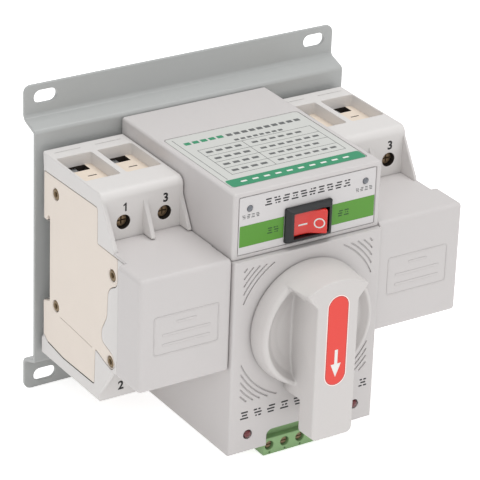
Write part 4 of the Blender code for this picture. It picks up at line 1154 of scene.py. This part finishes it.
# ================================================ CAD pieces kept as they are
# (part of the name, finish); the first match counts
CAD_FINISHES = [
    ("din_rail", "zinc"), ("centre_base", "case_moulding"), ("control_board", "board"),
    ("knob_shaft", "steel"), ("drive_gear", "white_gear"), ("motor_pinion", "brass"),
    ("motor", "steel"), ("rack", "white_gear"), ("toggle_bar", "black_moulding"),
    ("contact_arm", "copper"), ("trip_coil", "copper"), ("arc_chute", "steel"),
    ("rail_clip", "black_moulding")]


def finish_cad():
    for name, ob in frame["nodes"].items():
        if ob.hide_render:
            continue
        for key, finish in CAD_FINISHES:
            if key in name:
                ob.data.materials.clear()
                ob.data.materials.append(MATERIALS[finish])
                break
        else:
            raise RuntimeError("no finish chosen for " + name)


# ============================================== stage and camera, in metres
def floor():
    bpy.ops.mesh.primitive_plane_add(size=6.0, location=(0, 0.0, CAD_LO.z - 0.0002))
    ground = bpy.context.object
    ground.name = "floor"
    material = bpy.data.materials.new("floor_white")
    material.use_nodes = True
    nodes, links = material.node_tree.nodes, material.node_tree.links
    shader = nodes["Principled BSDF"]
    shader.inputs["Base Color"].default_value = (0.93, 0.93, 0.93, 1)
    shader.inputs["Roughness"].default_value = 0.9
    shader.inputs["Emission Color"].default_value = (1, 1, 1, 1)
    # the floor glows by 0.25, and by 0.42 more where the camera sees it directly
    path = nodes.new("ShaderNodeLightPath")
    glow = nodes.new("ShaderNodeMath")
    glow.operation = 'MULTIPLY_ADD'
    glow.inputs[1].default_value = 0.42
    glow.inputs[2].default_value = 0.25
    links.new(path.outputs["Is Camera Ray"], glow.inputs[0])
    links.new(glow.outputs[0], shader.inputs["Emission Strength"])
    ground.data.materials.append(material)


def world():
    studio = bpy.data.worlds.new("studio")
    bpy.context.scene.world = studio
    studio.use_nodes = True
    background = studio.node_tree.nodes["Background"]
    background.inputs["Color"].default_value = (1, 1, 1, 1)
    background.inputs["Strength"].default_value = 0.56


def disk_light(name, location, diameter, watts):
    light = bpy.data.lights.new(name, 'AREA')
    light.shape = 'DISK'
    light.size = diameter
    light.energy = watts
    ob = bpy.data.objects.new(name, light)
    bpy.context.scene.collection.objects.link(ob)
    ob.location = location
    ob.rotation_mode = 'QUATERNION'
    aim = Vector((0, -0.05, 0.05)) - Vector(location)
    ob.rotation_quaternion = aim.to_track_quat('-Z', 'Y')


def camera():
    azimuth, elevation, roll = (math.radians(a) for a in (-33.34, 25.77, 2.19))
    target = Vector((0, -49, 63.96)) * MM
    distance = 1.0603
    back = Vector((math.sin(azimuth) * math.cos(elevation),
                   -math.cos(azimuth) * math.cos(elevation), math.sin(elevation)))
    level = Vector((math.cos(azimuth), math.sin(azimuth), 0))
    upright = back.cross(level)
    right = math.cos(roll) * level + math.sin(roll) * upright
    up = -math.sin(roll) * level + math.cos(roll) * upright
    lens = bpy.data.cameras.new("camera")
    ob = bpy.data.objects.new("camera", lens)
    bpy.context.scene.collection.objects.link(ob)
    rotation = Matrix((right, up, back)).transposed().to_4x4()
    ob.matrix_world = Matrix.Translation(target + back * distance) @ rotation
    lens.sensor_width = 36.0
    lens.lens = 206.67
    lens.shift_x = -0.0082
    lens.shift_y = -0.0016
    lens.clip_start = 0.05
    lens.clip_end = 20
    scene = bpy.context.scene
    scene.camera = ob
    scene.view_settings.view_transform = 'Standard'
    scene.view_settings.look = 'None'


plate()
for side_name, side_sign in SIDES:
    breaker(side_name, side_sign)
front_cover()
controller_cover()
front_label()
top_label()
bezel()
rocker()
rocker_marks()
indicators()
terminal_block()
knob_body()
knob_label()
finish_cad()
floor()
world()
disk_light("key", location=(-0.75, -0.95, 0.85), diameter=0.7, watts=1.9)
disk_light("fill", location=(0.55, -1.2, 0.45), diameter=0.9, watts=0.8)
disk_light("top", location=(0.1, -0.1, 1.2), diameter=0.9, watts=5.6)
camera()
